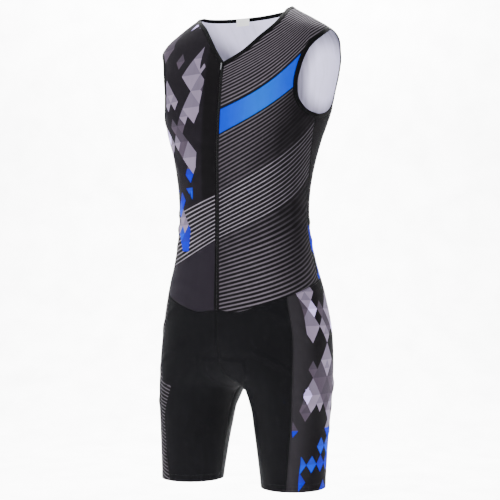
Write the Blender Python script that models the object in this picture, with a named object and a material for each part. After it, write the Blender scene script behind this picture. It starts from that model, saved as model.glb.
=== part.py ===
"""A sleeveless one-piece cycling skinsuit, in its worn shape with no wearer.

Metres, +Z up. The front faces -Y and the wearer's left is +X. The origin lies between the
neck ends of the shoulder lines, where the suit hangs on its wearer.

One smooth figure gives every piece its place. BODY lists its level sections. Each row is
the rounded oval of one half of the suit, and the halves blend into each other at the middle.
A place on the figure is (w, z): z is the height, and w runs from -1 at the centre front, or
at the inner leg seam, over 0 at the outer side, to +1 at the centre back.
"""
import math

import bmesh
import bpy
import numpy as np
from mathutils import Matrix

# ---------------------------------------------------------------- driving dimensions, metres
WALL = 0.0014              # knitted cloth
SEAM_GAP = 0.0003          # between pieces that meet
BINDING_WIDTH = 0.009      # turned band round the neck and the armholes
BINDING_THICK = 0.0024
HEM_Z = -0.886             # end of the legs
CROTCH_Z = -0.702          # where the legs part
SLIT_HALF = 0.0024         # half the slit between the fronts, for the zip
CHAIN_HALF = 0.0018
CHAIN_THICK = 0.0014
CHAIN_TOP_Z = -0.107
TAPE_WIDTH = 0.011
TAPE_THICK = 0.0006
PAD_THICK = 0.004
LABEL_SIZE = (0.026, 0.014, 0.0006)
LABEL_X = -0.031           # the label lies a little to the wearer's right

# Sections: height, outer and inner reach of one half in x, front and back reach in y, the
# level of the widest line in y, the roundness (2 is an ellipse), and how softly the halves
# blend at the middle.
COLUMNS = ("z", "outer", "inner", "front", "back", "mid", "roundness", "soft")
BODY = (
    (+0.017, 0.083, -0.083, -0.028, 0.048, 0.014, 2.0, 0.0),
    (+0.002, 0.101, -0.101, -0.037, 0.059, 0.012, 2.0, 0.0),
    (-0.022, 0.140, -0.140, -0.056, 0.083, 0.012, 2.0, 0.0),
    (-0.048, 0.177, -0.177, -0.066, 0.107, 0.012, 2.1, 0.0),
    (-0.085, 0.184, -0.184, -0.077, 0.125, 0.012, 2.3, 0.0),
    (-0.120, 0.180, -0.180, -0.087, 0.125, 0.010, 2.4, 0.0),
    (-0.150, 0.174, -0.174, -0.093, 0.120, 0.008, 2.4, 0.0),
    (-0.200, 0.163, -0.163, -0.099, 0.114, 0.005, 2.4, 0.0),
    (-0.240, 0.150, -0.150, -0.103, 0.108, 0.003, 2.3, 0.0),
    (-0.285, 0.137, -0.137, -0.105, 0.100, 0.002, 2.3, 0.0),
    (-0.340, 0.129, -0.129, -0.104, 0.092, 0.000, 2.2, 0.0),
    (-0.400, 0.128, -0.128, -0.103, 0.089, 0.000, 2.2, 0.0),
    (-0.460, 0.137, -0.137, -0.104, 0.099, 0.002, 2.2, 0.004),
    (-0.530, 0.156, -0.147, -0.105, 0.113, 0.004, 2.2, 0.010),
    (-0.600, 0.168, -0.112, -0.106, 0.120, 0.008, 2.2, 0.016),
    (-0.660, 0.170, -0.034, -0.103, 0.113, 0.007, 2.2, 0.020),
    (-0.702, 0.170, +0.020, -0.098, 0.102, 0.005, 2.1, 0.020),
    (-0.735, 0.170, +0.034, -0.093, 0.090, 0.001, 2.1, 0.020),
    (-0.785, 0.170, +0.041, -0.086, 0.075, -0.005, 2.0, 0.020),
    (-0.890, 0.168, +0.053, -0.072, 0.050, -0.011, 2.0, 0.018),
)

# Cutting lines on the figure, as (w, z) places that a smooth curve runs through.
NECK_CORNER = (0.0, 0.002)        # neck end of the shoulder line
SHOULDER_TIP = (0.0, -0.043)
UNDERARM = (-0.10, -0.211)
ZIP_TOP = (-1.0, -0.115)
NECK_FRONT_LEFT = (ZIP_TOP, (-0.733, -0.094), (-0.511, -0.064), (-0.384, -0.0445),
                   (-0.276, -0.0245), (-0.146, -0.0070), NECK_CORNER)
NECK_FRONT_RIGHT = (ZIP_TOP, (-0.860, -0.090), (-0.722, -0.063), (-0.566, -0.037),
                    (-0.325, -0.0140), NECK_CORNER)
ARMHOLE_FRONT = (SHOULDER_TIP, (-0.148, -0.062), (-0.243, -0.090), (-0.296, -0.125),
                 (-0.312, -0.157), (-0.291, -0.184), (-0.215, -0.204), UNDERARM)
ARMHOLE_BACK = (SHOULDER_TIP, (0.100, -0.062), (0.180, -0.092), (0.215, -0.125),
                (0.205, -0.153), (0.150, -0.184), (0.035, -0.205), UNDERARM)
SIDE_SEAM = (UNDERARM, (-0.050, -0.250), (0.020, -0.300), (0.060, -0.360), (0.060, -0.420),
             (0.060, -0.505))
WAIST_SEAM = ((-1.0, -0.561), (-0.85, -0.564), (-0.60, -0.552), (-0.36, -0.536),
              (0.06, -0.505), (0.45, -0.494), (1.0, -0.490))

# Side panels of the shorts: x of the front and of the back seam at a height.
LEG_SEAM_COLUMNS = ("z", "front_x", "back_x")
LEG_SEAMS = (
    (-0.490, 0.126, 0.108),
    (-0.540, 0.128, 0.112),
    (-0.600, 0.137, 0.120),
    (-0.690, 0.140, 0.128),
    (-0.750, 0.138, 0.132),
    (-0.810, 0.132, 0.134),
    (-0.890, 0.123, 0.134),
)
FRONT_SEAM_W = -0.36       # where the side panels' seams meet the waist seam
BACK_SEAM_W = 0.45
SIDE_SEAM_W = 0.06

# Pad inside the seat: half widths at its front end and back end, its ends' heights, and how
# far it reaches down the inner leg seam.
PAD_FRONT = (0.032, -0.655)
PAD_BACK = (0.070, -0.590)
PAD_LEG_Z = -0.740
PAD_CLEAR = 0.0030         # from the cloth's inner face

# Faces along each stretch.
ROWS = {"shoulder": 3, "neck": 8, "armhole": 14, "side": 10, "rise": 12, "leg": 10, "zip": 24}
COLS = {"front_inner": 8, "front_outer": 5, "back_outer": 4, "back_inner": 8}

# Zip slider and pull, in their own frame: x across, -y out of the suit, z up the zip.
SLIDER_Z = -0.113
SLIDER_PLATE = (0.0046, 0.0012, 0.0080)
SLIDER_LIFT = 0.0002       # the plate lies this far out of the figure, the chain as far in
LUG = (0.0008, 0.0022, 0.0018)
LUG_X = 0.0018
PIN_RADIUS = 0.0005
PIN_OUT = 0.0029           # from the figure's surface to the pin's centre
PIN_UP = 0.0025
EYE_RADIUS = 0.0011
EYE_BORE = 0.0007
EYE_LENGTH = 0.0022
TAB = (0.0026, 0.0008, 0.0115)

COLOURS = {                # base colour, roughness, metallic
    "print_dark": ((0.030, 0.028, 0.034), 0.75, 0.0),
    "print_stripe": ((0.070, 0.066, 0.080), 0.75, 0.0),
    "back_cloth": ((0.022, 0.021, 0.024), 0.75, 0.0),
    "lycra": ((0.010, 0.010, 0.011), 0.60, 0.0),
    "side_print": ((0.045, 0.042, 0.055), 0.70, 0.0),
    "binding": ((0.012, 0.012, 0.014), 0.65, 0.0),
    "pad": ((0.020, 0.040, 0.120), 0.90, 0.0),
    "tape": ((0.015, 0.015, 0.017), 0.80, 0.0),
    "chain": ((0.012, 0.012, 0.013), 0.45, 0.0),
    "slider": ((0.020, 0.020, 0.022), 0.35, 0.8),
    "tab": ((0.550, 0.560, 0.600), 0.35, 0.6),
    "label": ((0.900, 0.900, 0.890), 0.80, 0.0),
}


# ---------------------------------------------------------------- curves and the figure
def smooth(at, marks, values):
    """Cubic curve through (marks, values); its slope at a mark weighs the chords beside it."""
    order = np.argsort(marks)
    marks = np.asarray(marks, float)[order]
    values = np.asarray(values, float)[order]
    step = np.diff(marks)
    chord = np.diff(values) / step
    slope = np.empty(len(marks))
    slope[1:-1] = (chord[:-1] * step[1:] + chord[1:] * step[:-1]) / (step[:-1] + step[1:])
    slope[0] = chord[0]
    slope[-1] = chord[-1]
    i = np.clip(np.searchsorted(marks, at) - 1, 0, len(step) - 1)
    t = (at - marks[i]) / step[i]
    near = (1 + 2 * t) * (1 - t) ** 2 * values[i] + t * (1 - t) ** 2 * step[i] * slope[i]
    far = t * t * (3 - 2 * t) * values[i + 1] + t * t * (t - 1) * step[i] * slope[i + 1]
    return near + far


def column(table, names, name):
    """One named column of a table."""
    return np.array([row[names.index(name)] for row in table])


BODY_Z = column(BODY, COLUMNS, "z")
BODY_SIZES = {name: column(BODY, COLUMNS, name) for name in COLUMNS}


def section(z):
    """Sizes of the figure's section at height z."""
    size = {name: smooth(z, BODY_Z, BODY_SIZES[name]) for name in COLUMNS[1:]}
    size["centre"] = (size["outer"] + size["inner"]) / 2
    size["half"] = (size["outer"] - size["inner"]) / 2
    size["soft"] = np.maximum(size["soft"], 0.0)
    return size


def depth(size, is_back):
    """Reach of a section forwards or backwards of its widest line."""
    return np.where(is_back, size["back"] - size["mid"], size["mid"] - size["front"])


def angle_at(size, x, is_back):
    """Polar angle, about the section's centre, of its front or back point at x."""
    across = (np.sqrt(x * x + size["soft"] ** 2) - size["centre"]) / size["half"]
    across = np.clip(across, -1.0, 1.0)
    n = size["roundness"]
    reach = depth(size, is_back) * (1 - np.abs(across) ** n) ** (1 / n)
    return np.arctan2(reach, across * size["half"])


def figure(w, z):
    """Points of the figure for the places (w, z), on the wearer's left.

    The section is the oval |X/half|^n + |Y/depth|^n = 1 about its centre, and the x of a
    point is sqrt(X^2 - soft^2), which rounds the fork between the legs.
    """
    w, z = np.broadcast_arrays(np.asarray(w, float), np.asarray(z, float))
    size = section(z)
    is_back = w > 0
    angle = w * angle_at(size, np.zeros_like(w), is_back)
    n = size["roundness"]
    cos, sin = np.cos(angle), np.sin(angle)
    reach = np.abs(cos / size["half"]) ** n + np.abs(sin / depth(size, is_back)) ** n
    reach = reach ** (-1 / n)
    wide = size["centre"] + reach * cos
    x = np.sqrt(np.maximum(wide * wide - size["soft"] ** 2, 0.0))
    return np.stack([x, size["mid"] + reach * sin, z], axis=-1)


def w_at(x, z, is_back):
    """w of the figure's front or back point with this x and z."""
    size = section(z)
    side = 1.0 if is_back else -1.0
    return side * angle_at(size, x, is_back) / angle_at(size, 0.0 * x, is_back)


def unit(vectors):
    """Vectors scaled to length 1."""
    return vectors / np.linalg.norm(vectors, axis=-1, keepdims=True)


def outward(w, z):
    """Unit normals of the figure, out of the suit."""
    w, z = np.broadcast_arrays(np.asarray(w, float), np.asarray(z, float))
    reach = 0.004
    inner_w = np.clip(w, -1 + reach, 1 - reach)
    around = figure(inner_w + reach, z) - figure(inner_w - reach, z)
    down = figure(inner_w, z - 0.0005) - figure(inner_w, z + 0.0005)
    return unit(np.cross(down, around))


def through(points, count, before=None, after=None):
    """count + 1 even places along the smooth curve through (w, z) points.

    before and after are points of a curve that this one carries on from or into.
    """
    listed = [p for p in (before, *points, after) if p is not None]
    places = np.array(listed, float)
    solid = figure(places[:, 0], places[:, 1])
    run = np.concatenate([[0.0], np.cumsum(np.linalg.norm(np.diff(solid, axis=0), axis=1))])
    start = run[0 if before is None else 1]
    end = run[-1 if after is None else -2]
    at = np.linspace(start, end, count + 1)
    return np.stack([smooth(at, run, places[:, 0]), smooth(at, run, places[:, 1])], axis=-1)


def join(*stretches):
    """Curves end to end, without doubling the places where they meet."""
    return np.concatenate([stretches[0]] + [stretch[1:] for stretch in stretches[1:]])


def span(start, end, share):
    """Even blend from start to end for an array of shares."""
    share = np.asarray(share, float)
    return start + (end - start) * share


def patch(top, bottom, left, right, across, down):
    """Grid of places filling four edge curves (a Coons patch)."""
    s = across[None, :, None]
    t = down[:, None, None]
    sides = (1 - s) * left[:, None] + s * right[:, None]
    ends = (1 - t) * top[None] + t * bottom[None]
    corners = ((1 - s) * (1 - t) * top[0] + s * (1 - t) * top[-1]
               + (1 - s) * t * bottom[0] + s * t * bottom[-1])
    return sides + ends - corners


# ---------------------------------------------------------------- panels
def rim(rows, cols):
    """Indices round a grid's border: along its top, down its right side and so on."""
    index = np.arange(rows * cols).reshape(rows, cols)
    sides = (index[0, :-1], index[:-1, -1], index[-1, :0:-1], index[:0:-1, 0])
    return np.concatenate(sides)


def draw_in(points, normals, gaps):
    """Move a grid's border into the piece, along its surface, by each border edge's gap."""
    loop = rim(*points.shape[:2])
    facing = normals.reshape(-1, 3)[loop]
    flat = points.reshape(-1, 3).copy()
    border = flat[loop]
    edges = unit(np.roll(border, -1, axis=0) - border)
    moved = border.copy()
    for i, second_gap in enumerate(gaps):
        first, second = (unit(np.cross(edges[k], facing[i])) for k in (i - 1, i))
        first_gap = gaps[i - 1]
        turn = float(first @ second)
        if turn > 0.95:
            moved[i] += unit(first + second) * (first_gap + second_gap) / 2
        else:
            share = 1 - turn * turn
            moved[i] += first * (first_gap - turn * second_gap) / share
            moved[i] += second * (second_gap - turn * first_gap) / share
    flat[loop] = moved
    return flat.reshape(points.shape)


def sheet(places, top=SEAM_GAP / 2, right=SEAM_GAP / 2, bottom=SEAM_GAP / 2,
          left=SEAM_GAP / 2):
    """Points and normals of the piece that fills a grid of places.

    Each side is drawn in by its gap, given once or for each of its edges.
    """
    rows, cols = (count - 1 for count in places.shape[:2])
    gaps = np.concatenate([np.broadcast_to(top, cols), np.broadcast_to(right, rows),
                           np.broadcast_to(bottom, cols)[::-1],
                           np.broadcast_to(left, rows)[::-1]])
    points = figure(places[..., 0], places[..., 1])
    normals = outward(places[..., 0], places[..., 1])
    return draw_in(points, normals, gaps), normals


def with_other_half(points, normals):
    """A half piece whose last column lies on the middle, and its mirror image."""
    normals[:, -1, 0] = 0.0
    normals[:, -1] = unit(normals[:, -1])
    points[:, -1, 0] = 0.0
    flip = np.array([-1, 1, 1])
    return (np.concatenate([points, points[:, -2::-1] * flip], axis=1),
            np.concatenate([normals, normals[:, -2::-1] * flip], axis=1))


def torso_columns(name):
    """w along the waist seam, from the centre front or from the side seam backwards."""
    if name == "front":
        inner = np.linspace(-1.0, FRONT_SEAM_W, COLS["front_inner"] + 1)
        outer = np.linspace(FRONT_SEAM_W, SIDE_SEAM_W, COLS["front_outer"] + 1)
    else:
        inner = np.linspace(SIDE_SEAM_W, BACK_SEAM_W, COLS["back_outer"] + 1)
        outer = np.linspace(BACK_SEAM_W, 1.0, COLS["back_inner"] + 1)
    return np.concatenate([inner, outer[1:]])


def shares(values):
    """Where each value lies between the first and the last."""
    return (values - values[0]) / (values[-1] - values[0])


def waist(w):
    """Places on the waist seam."""
    table = np.array(WAIST_SEAM)
    return np.stack([w, smooth(w, table[:, 0], table[:, 1])], axis=-1)


def neck_back():
    """Places on the back's neck edge, one for each of its columns."""
    w = span(0.0, 1.0, shares(torso_columns("back")))
    return np.stack([w, np.full(len(w), NECK_CORNER[1])], axis=-1)


def shoulder(count):
    """Places down the shoulder line."""
    return through((NECK_CORNER, SHOULDER_TIP), count)


def armhole_and_side(armhole, other_armhole):
    """Places down a panel's armhole and side seam."""
    hole = through(armhole, ROWS["armhole"], before=other_armhole[1], after=other_armhole[-2])
    return join(hole, through(SIDE_SEAM, ROWS["side"]))


def front_panel(neck):
    """One front of the top, on the wearer's left. Its rows start as the shoulder line."""
    w = torso_columns("front")
    bottom = waist(w)
    zip_rows = ROWS["armhole"] + ROWS["side"] - ROWS["neck"]
    left = join(through(neck, ROWS["neck"])[::-1], through((ZIP_TOP, bottom[0]), zip_rows))
    right = armhole_and_side(ARMHOLE_FRONT, ARMHOLE_BACK)
    down = np.linspace(0, 1, len(left))
    places = patch(shoulder(len(w) - 1), bottom, left, right, shares(w), down)
    return sheet(places, left=[SEAM_GAP / 2] * ROWS["neck"] + [SLIT_HALF] * zip_rows)


def back_panel():
    """The back of the top, from the wearer's left side over the middle to the right."""
    w = torso_columns("back")
    left = join(shoulder(ROWS["shoulder"]), armhole_and_side(ARMHOLE_BACK, ARMHOLE_FRONT))
    down = (shares(left[:, 1]) + 2 * np.linspace(0, 1, len(left))) / 3
    top, bottom = neck_back(), waist(w)
    right = np.stack([np.ones(len(down)), span(top[-1, 1], bottom[-1, 1], down)], axis=-1)
    half = sheet(patch(top, bottom, left, right, shares(w), down), right=0.0)
    return with_other_half(*half)


def leg_rows(top_z):
    """Heights down the shorts. They crowd quadratically towards the fork, where the seams of
    the middle turn square."""
    rise = span(CROTCH_Z, top_z, np.linspace(1, 0, ROWS["rise"] + 1) ** 2)
    leg = span(CROTCH_Z, HEM_Z, np.linspace(0, 1, ROWS["leg"] + 1) ** 2)
    return np.concatenate([rise, leg[1:]])


def middle_edge(w, top_z):
    """Centre seam of the shorts down to the fork, then the inner leg seam."""
    z = leg_rows(top_z)
    return np.stack([np.full(len(z), w), z], axis=-1)


def leg_seam(name, start_w):
    """Seam between a side panel and the front or the back of the shorts."""
    start = waist(np.array([start_w]))[0]
    z = leg_rows(start[1])
    heights = column(LEG_SEAMS, LEG_SEAM_COLUMNS, "z")
    x = smooth(z, heights, column(LEG_SEAMS, LEG_SEAM_COLUMNS, name + "_x"))
    x = x + (figure(*start)[0] - x[0]) * (1 - shares(z)) ** 3
    return np.stack([w_at(x, z, name == "back"), z], axis=-1)


def shorts_panel(name):
    """The front, side or back panel of one leg, on the wearer's left."""
    front_w, back_w = torso_columns("front"), torso_columns("back")
    inner, outer = COLS["front_inner"], COLS["back_outer"]
    if name == "front":
        w = front_w[:inner + 1]
        left, right = middle_edge(-1.0, waist(w)[0, 1]), leg_seam("front", FRONT_SEAM_W)
    elif name == "side":
        w = np.concatenate([front_w[inner:], back_w[1:outer + 1]])
        left, right = leg_seam("front", FRONT_SEAM_W), leg_seam("back", BACK_SEAM_W)
    else:
        w = back_w[outer:]
        left, right = leg_seam("back", BACK_SEAM_W), middle_edge(1.0, waist(w)[-1, 1])
    across = shares(w)
    hem_w = span(left[-1, 0], right[-1, 0], across)
    bottom = np.stack([hem_w, np.full(len(w), HEM_Z)], axis=-1)
    return sheet(patch(waist(w), bottom, left, right, across, shares(left[:, 1])), bottom=0.0)


# ---------------------------------------------------------------- bands, pad, zip and label
def band_beside(edge, into):
    """Points and normals of a band that starts half a seam gap beside an edge."""
    points = figure(edge[:, 0], edge[:, 1])
    normals = outward(edge[:, 0], edge[:, 1])
    along = np.linspace(SEAM_GAP / 2, SEAM_GAP / 2 + BINDING_WIDTH, 3)
    points = points[:, None] + into[:, None] * along[None, :, None]
    return points, np.repeat(normals[:, None], len(along), axis=1)


def beside(edge, closed):
    """Unit directions on the figure, square to an edge and to its left."""
    points = figure(edge[:, 0], edge[:, 1])
    if closed:
        run = np.roll(points, -1, axis=0) - np.roll(points, 1, axis=0)
    else:
        run = np.gradient(points, axis=0)
    return unit(np.cross(outward(edge[:, 0], edge[:, 1]), unit(run)))


def armhole_band():
    """Closed band in the left armhole, from the panels' edges into the hole."""
    front = armhole_and_side(ARMHOLE_FRONT, ARMHOLE_BACK)[:ROWS["armhole"]]
    back = armhole_and_side(ARMHOLE_BACK, ARMHOLE_FRONT)[ROWS["armhole"]:0:-1]
    loop = np.concatenate([front, back])
    return band_beside(loop, beside(loop, True))


def neck_band():
    """Band round the neck, from the zip over the wearer's left to the zip again."""
    up_zip = unit(figure(-1.0, ZIP_TOP[1] + 0.002) - figure(-1.0, ZIP_TOP[1] - 0.002))
    points, normals = [], []
    for neck, side in ((NECK_FRONT_LEFT, 1), (NECK_FRONT_RIGHT, -1)):
        front = through(neck, ROWS["neck"])
        start_w = w_at(SLIT_HALF, ZIP_TOP[1], False)
        front[0] = span(front[0], front[1], (start_w - front[0, 0]) / (front[1, 0] - front[0, 0]))
        edge = join(front, neck_back())
        into = beside(edge, False)
        into[0] = up_zip / (up_zip @ into[0])
        into[-1] = unit(into[-1] * [0, 1, 1])
        half, facing = band_beside(edge, into)
        half[-1, :, 0] = 0.0
        facing[-1, :, 0] = 0.0
        points.append(half * [side, 1, 1])
        normals.append(unit(facing) * [side, 1, 1])
    return (np.concatenate([points[0], points[1][-2::-1]]),
            np.concatenate([normals[0], normals[1][-2::-1]]))


def pad_quarter(w, half_width, end_z):
    """Places of the front or back left quarter of the pad, from its end to the leg seam."""
    steps, lanes = 10, 5
    is_back = w > 0
    across = np.linspace(0, 1, lanes + 1)
    down = np.linspace(0, 1, steps + 1)
    top = np.stack([w_at(half_width * across, end_z, is_back), np.full(lanes + 1, end_z)], -1)
    bottom = np.stack([np.full(lanes + 1, w), span(CROTCH_Z, PAD_LEG_Z, across ** 2)], -1)
    left = np.stack([np.full(steps + 1, w), span(CROTCH_Z, end_z, (1 - down) ** 2)], -1)
    right_z = span(end_z, PAD_LEG_Z, down)
    right_x = span(half_width, figure(w, PAD_LEG_Z)[0], down ** 1.5)
    right = np.stack([w_at(right_x, right_z, is_back), right_z], axis=-1)
    right[-1] = bottom[-1]
    return patch(top, bottom, left, right, across, down)


def seat_pad():
    """Pad from its front end, under the fork, to its back end, inside the cloth."""
    front = pad_quarter(-1.0, *PAD_FRONT)
    back = pad_quarter(1.0, *PAD_BACK)
    places = np.concatenate([front, back[-2::-1]])[:, ::-1]
    points = figure(places[..., 0], places[..., 1])
    return with_other_half(points, outward(places[..., 0], places[..., 1]))


def zip_strip(x_values, top_z, bottom_z):
    """Strip along the centre front, on the figure."""
    z = np.linspace(top_z, bottom_z, ROWS["zip"] + 1)
    x, z = np.meshgrid(np.asarray(x_values), z)
    w = w_at(np.abs(x), z, False)
    points = figure(w, z)
    points[..., 0] = x
    return points, unit(outward(w, z) * [0, 1, 1])


def neck_label():
    """Label that hangs upright inside the back neck, sewn to the band's upper edge."""
    width, height, _ = LABEL_SIZE
    x = np.linspace(LABEL_X - width / 2, LABEL_X + width / 2, 5)
    w = np.linspace(1.0, 0.4, 25)
    z = np.full(len(w), NECK_CORNER[1])
    up = unit(figure(w, z + 0.001) - figure(w, z - 0.001))
    clear = WALL / 2 + BINDING_THICK / 2 + 2 * SEAM_GAP
    rail = figure(w, z) + up * BINDING_WIDTH - outward(w, z) * clear
    top = np.stack([x] + [np.interp(np.abs(x), rail[:, 0], rail[:, k]) for k in (1, 2)], -1)
    drop = np.linspace(0.0005, height + 0.0005, 4)
    points = np.repeat(top[None], len(drop), axis=0)
    points[..., 2] -= drop[:, None]
    return points, np.broadcast_to([0.0, 1.0, 0.0], points.shape)


# ---------------------------------------------------------------- Blender objects
def clear_scene():
    """Start from an empty file."""
    for thing in list(bpy.data.objects):
        bpy.data.objects.remove(thing, do_unlink=True)


def material(slot):
    """Principled material of one slot."""
    existing = bpy.data.materials.get(slot)
    if existing:
        return existing
    colour, roughness, metallic = COLOURS[slot]
    made = bpy.data.materials.new(slot)
    made.use_nodes = True
    shader = made.node_tree.nodes["Principled BSDF"]
    shader.inputs["Base Color"].default_value = (*colour, 1.0)
    shader.inputs["Roughness"].default_value = roughness
    shader.inputs["Metallic"].default_value = metallic
    return made


def new_object(name, mesh, slot, collection):
    """Object with one material, linked to a collection."""
    mesh.materials.append(material(slot))
    thing = bpy.data.objects.new(name, mesh)
    collection.objects.link(thing)
    return thing


def wall(name, surface, slot, collection, thick=WALL, lift=0.0, mirrored=False, closed=False):
    """Solid wall between a sheet, lifted off by lift, and the same sheet thick behind it.

    It is lofted along the figure's own normals, so that the edges of two pieces stay
    parallel through their seam. mirrored puts it on the wearer's right, and closed joins
    the last row to the first.
    """
    points, normals = surface
    rows, cols = points.shape[:2]
    outer = points + normals * lift
    both = np.concatenate([outer.reshape(-1, 3), (outer - normals * thick).reshape(-1, 3)])
    index = np.arange(rows * cols).reshape(rows, cols)
    loop = rim(rows, cols)
    loops = [np.append(loop, loop[0])]
    if closed:
        index = np.concatenate([index, index[:1]])
        loops = [index[:, -1], index[::-1, 0]]
    quads = np.stack([index[:-1, :-1], index[1:, :-1], index[1:, 1:], index[:-1, 1:]], axis=-1)
    quads = quads.reshape(-1, 4)
    under = rows * cols
    edges = [np.stack([a[:-1], a[1:], a[1:] + under, a[:-1] + under], axis=-1) for a in loops]
    faces = np.concatenate([quads, quads[:, ::-1] + under, *edges])
    grain = np.cross(np.gradient(points, axis=0), np.gradient(points, axis=1))
    if (np.sum(grain * normals) < 0) != mirrored:
        faces = faces[:, ::-1]
    if mirrored:
        both = both * [-1, 1, 1]
    mesh = bpy.data.meshes.new(name)
    mesh.from_pydata(both.tolist(), [], faces.tolist())
    mesh.shade_smooth()
    mesh.set_sharp_from_angle(angle=math.radians(50))
    return new_object(name, mesh, slot, collection)


def block(name, size, centre, slot, collection):
    """Box of the given size."""
    mesh = bpy.data.meshes.new(name)
    made = bmesh.new()
    bmesh.ops.create_cube(made, size=1.0)
    bmesh.ops.scale(made, vec=size, verts=made.verts)
    bmesh.ops.translate(made, vec=centre, verts=made.verts)
    made.to_mesh(mesh)
    made.free()
    return new_object(name, mesh, slot, collection)


def rod(name, radius, length, centre, slot, collection, sides=20):
    """Cylinder along x."""
    mesh = bpy.data.meshes.new(name)
    made = bmesh.new()
    bmesh.ops.create_cone(made, cap_ends=True, segments=sides, radius1=radius,
                          radius2=radius, depth=length)
    bmesh.ops.rotate(made, matrix=Matrix.Rotation(math.pi / 2, 3, "Y"), verts=made.verts)
    bmesh.ops.translate(made, vec=centre, verts=made.verts)
    made.to_mesh(mesh)
    made.free()
    return new_object(name, mesh, slot, collection)


def combine(thing, others, operation):
    """Unite others with a thing or cut them from it, by live Boolean modifiers."""
    for other in others:
        boolean = thing.modifiers.new(operation.title(), "BOOLEAN")
        boolean.operation = operation
        boolean.object = other
        other.hide_render = True
        other.display_type = "WIRE"


def zip_hardware(part, cutters):
    """Slider with its pin, and the pull tab that swings on the pin."""
    rise = figure(-1.0, SLIDER_Z + 0.004) - figure(-1.0, SLIDER_Z - 0.004)
    lean = math.atan2(-rise[1], rise[2])
    seat = figure(-1.0, SLIDER_Z)

    plate_y = -(SLIDER_LIFT + SLIDER_PLATE[1] / 2)
    slider = block("zip_slider", SLIDER_PLATE, (0, plate_y, 0), "slider", part)
    lug_y = -(SLIDER_LIFT + SLIDER_PLATE[1] + LUG[1] / 2 - 0.0002)
    lugs = [block(f"lug_{side}", LUG, (side * LUG_X, lug_y, PIN_UP), "slider", cutters)
            for side in (-1, 1)]
    pin = rod("pin", PIN_RADIUS, 2 * LUG_X, (0, -PIN_OUT, PIN_UP), "slider", cutters)
    combine(slider, (*lugs, pin), "UNION")

    tab_z = -EYE_RADIUS / 2 - TAB[2] / 2
    tab = block("zip_pull_tab", TAB, (0, 0, tab_z), "tab", part)
    eye = rod("eye", EYE_RADIUS, EYE_LENGTH, (0, 0, 0), "tab", cutters)
    bore = rod("bore", EYE_BORE, 2 * EYE_LENGTH, (0, 0, 0), "tab", cutters)
    combine(tab, (eye,), "UNION")
    combine(tab, (bore,), "DIFFERENCE")

    turn = (lean, 0.0, 0.0)
    pin_place = (0.0,
                 seat[1] - PIN_OUT * math.cos(lean) - PIN_UP * math.sin(lean),
                 seat[2] - PIN_OUT * math.sin(lean) + PIN_UP * math.cos(lean))
    for thing in (slider, *lugs, pin):
        thing.location = seat
        thing.rotation_euler = turn
    for thing in (tab, eye, bore):
        thing.location = pin_place
        thing.rotation_euler = turn


def build():
    """Every piece of the suit."""
    clear_scene()
    part = bpy.data.collections.new("cycling_skinsuit")
    cutters = bpy.data.collections.new("cutters")
    bpy.context.scene.collection.children.link(part)
    bpy.context.scene.collection.children.link(cutters)

    wall("front_left", front_panel(NECK_FRONT_LEFT), "print_stripe", part)
    wall("front_right", front_panel(NECK_FRONT_RIGHT), "print_dark", part, mirrored=True)
    wall("back", back_panel(), "back_cloth", part)
    waist_z = WAIST_SEAM[0][1]
    tape_x = np.linspace(SLIT_HALF, SLIT_HALF + TAPE_WIDTH, 3)
    tape = zip_strip(tape_x, ZIP_TOP[1] - 0.004, waist_z + 0.002)
    band_lift = (BINDING_THICK - WALL) / 2
    for side, mirrored in (("left", False), ("right", True)):
        for name, slot in (("front", "lycra"), ("side", "side_print"), ("back", "lycra")):
            wall(f"shorts_{name}_{side}", shorts_panel(name), slot, part, mirrored=mirrored)
        wall(f"armhole_binding_{side}", armhole_band(), "binding", part, BINDING_THICK,
             band_lift, mirrored, closed=True)
        wall(f"zip_tape_{side}", tape, "tape", part, TAPE_THICK, -WALL - 2 * SEAM_GAP, mirrored)
    wall("neck_binding", neck_band(), "binding", part, BINDING_THICK, band_lift)
    wall("seat_pad", seat_pad(), "pad", part, PAD_THICK, -WALL - PAD_CLEAR)
    chain = zip_strip((-CHAIN_HALF, CHAIN_HALF), CHAIN_TOP_Z, waist_z + SEAM_GAP)
    wall("zip_chain", chain, "chain", part, CHAIN_THICK, -SLIDER_LIFT)
    wall("neck_label", neck_label(), "label", part, LABEL_SIZE[2])
    zip_hardware(part, cutters)


build()
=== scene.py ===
"""A sleeveless one-piece cycling skinsuit, dressed for the camera.

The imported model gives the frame. Each piece of cloth is a thin shell on the same figure as
its solid: a place on the figure is (w, z), where z is the height in metres and w runs from
-1 at the centre front or inner leg, over 0 at the outer side, to +1 at the centre back.
"""

import math

import bpy
import numpy as np
from bpy.props import FloatProperty, FloatVectorProperty, PointerProperty
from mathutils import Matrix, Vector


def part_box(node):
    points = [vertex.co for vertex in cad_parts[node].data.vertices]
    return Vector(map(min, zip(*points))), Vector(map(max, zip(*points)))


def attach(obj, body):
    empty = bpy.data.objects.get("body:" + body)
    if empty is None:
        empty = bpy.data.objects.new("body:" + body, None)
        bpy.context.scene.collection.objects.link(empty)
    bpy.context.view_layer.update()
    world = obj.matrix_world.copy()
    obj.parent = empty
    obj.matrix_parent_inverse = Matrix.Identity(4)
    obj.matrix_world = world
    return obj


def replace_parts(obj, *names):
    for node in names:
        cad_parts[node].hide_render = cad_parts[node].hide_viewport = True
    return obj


bl_info = {
    "name": "Cycling Skinsuit",
    "version": (1, 0, 0),
    "blender": (4, 5, 0),
    "location": "3D View > Sidebar > Skinsuit",
    "description": "Sews the cloth, zip and stitching of a sleeveless cycling skinsuit",
    "category": "Add Mesh",
}

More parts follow.
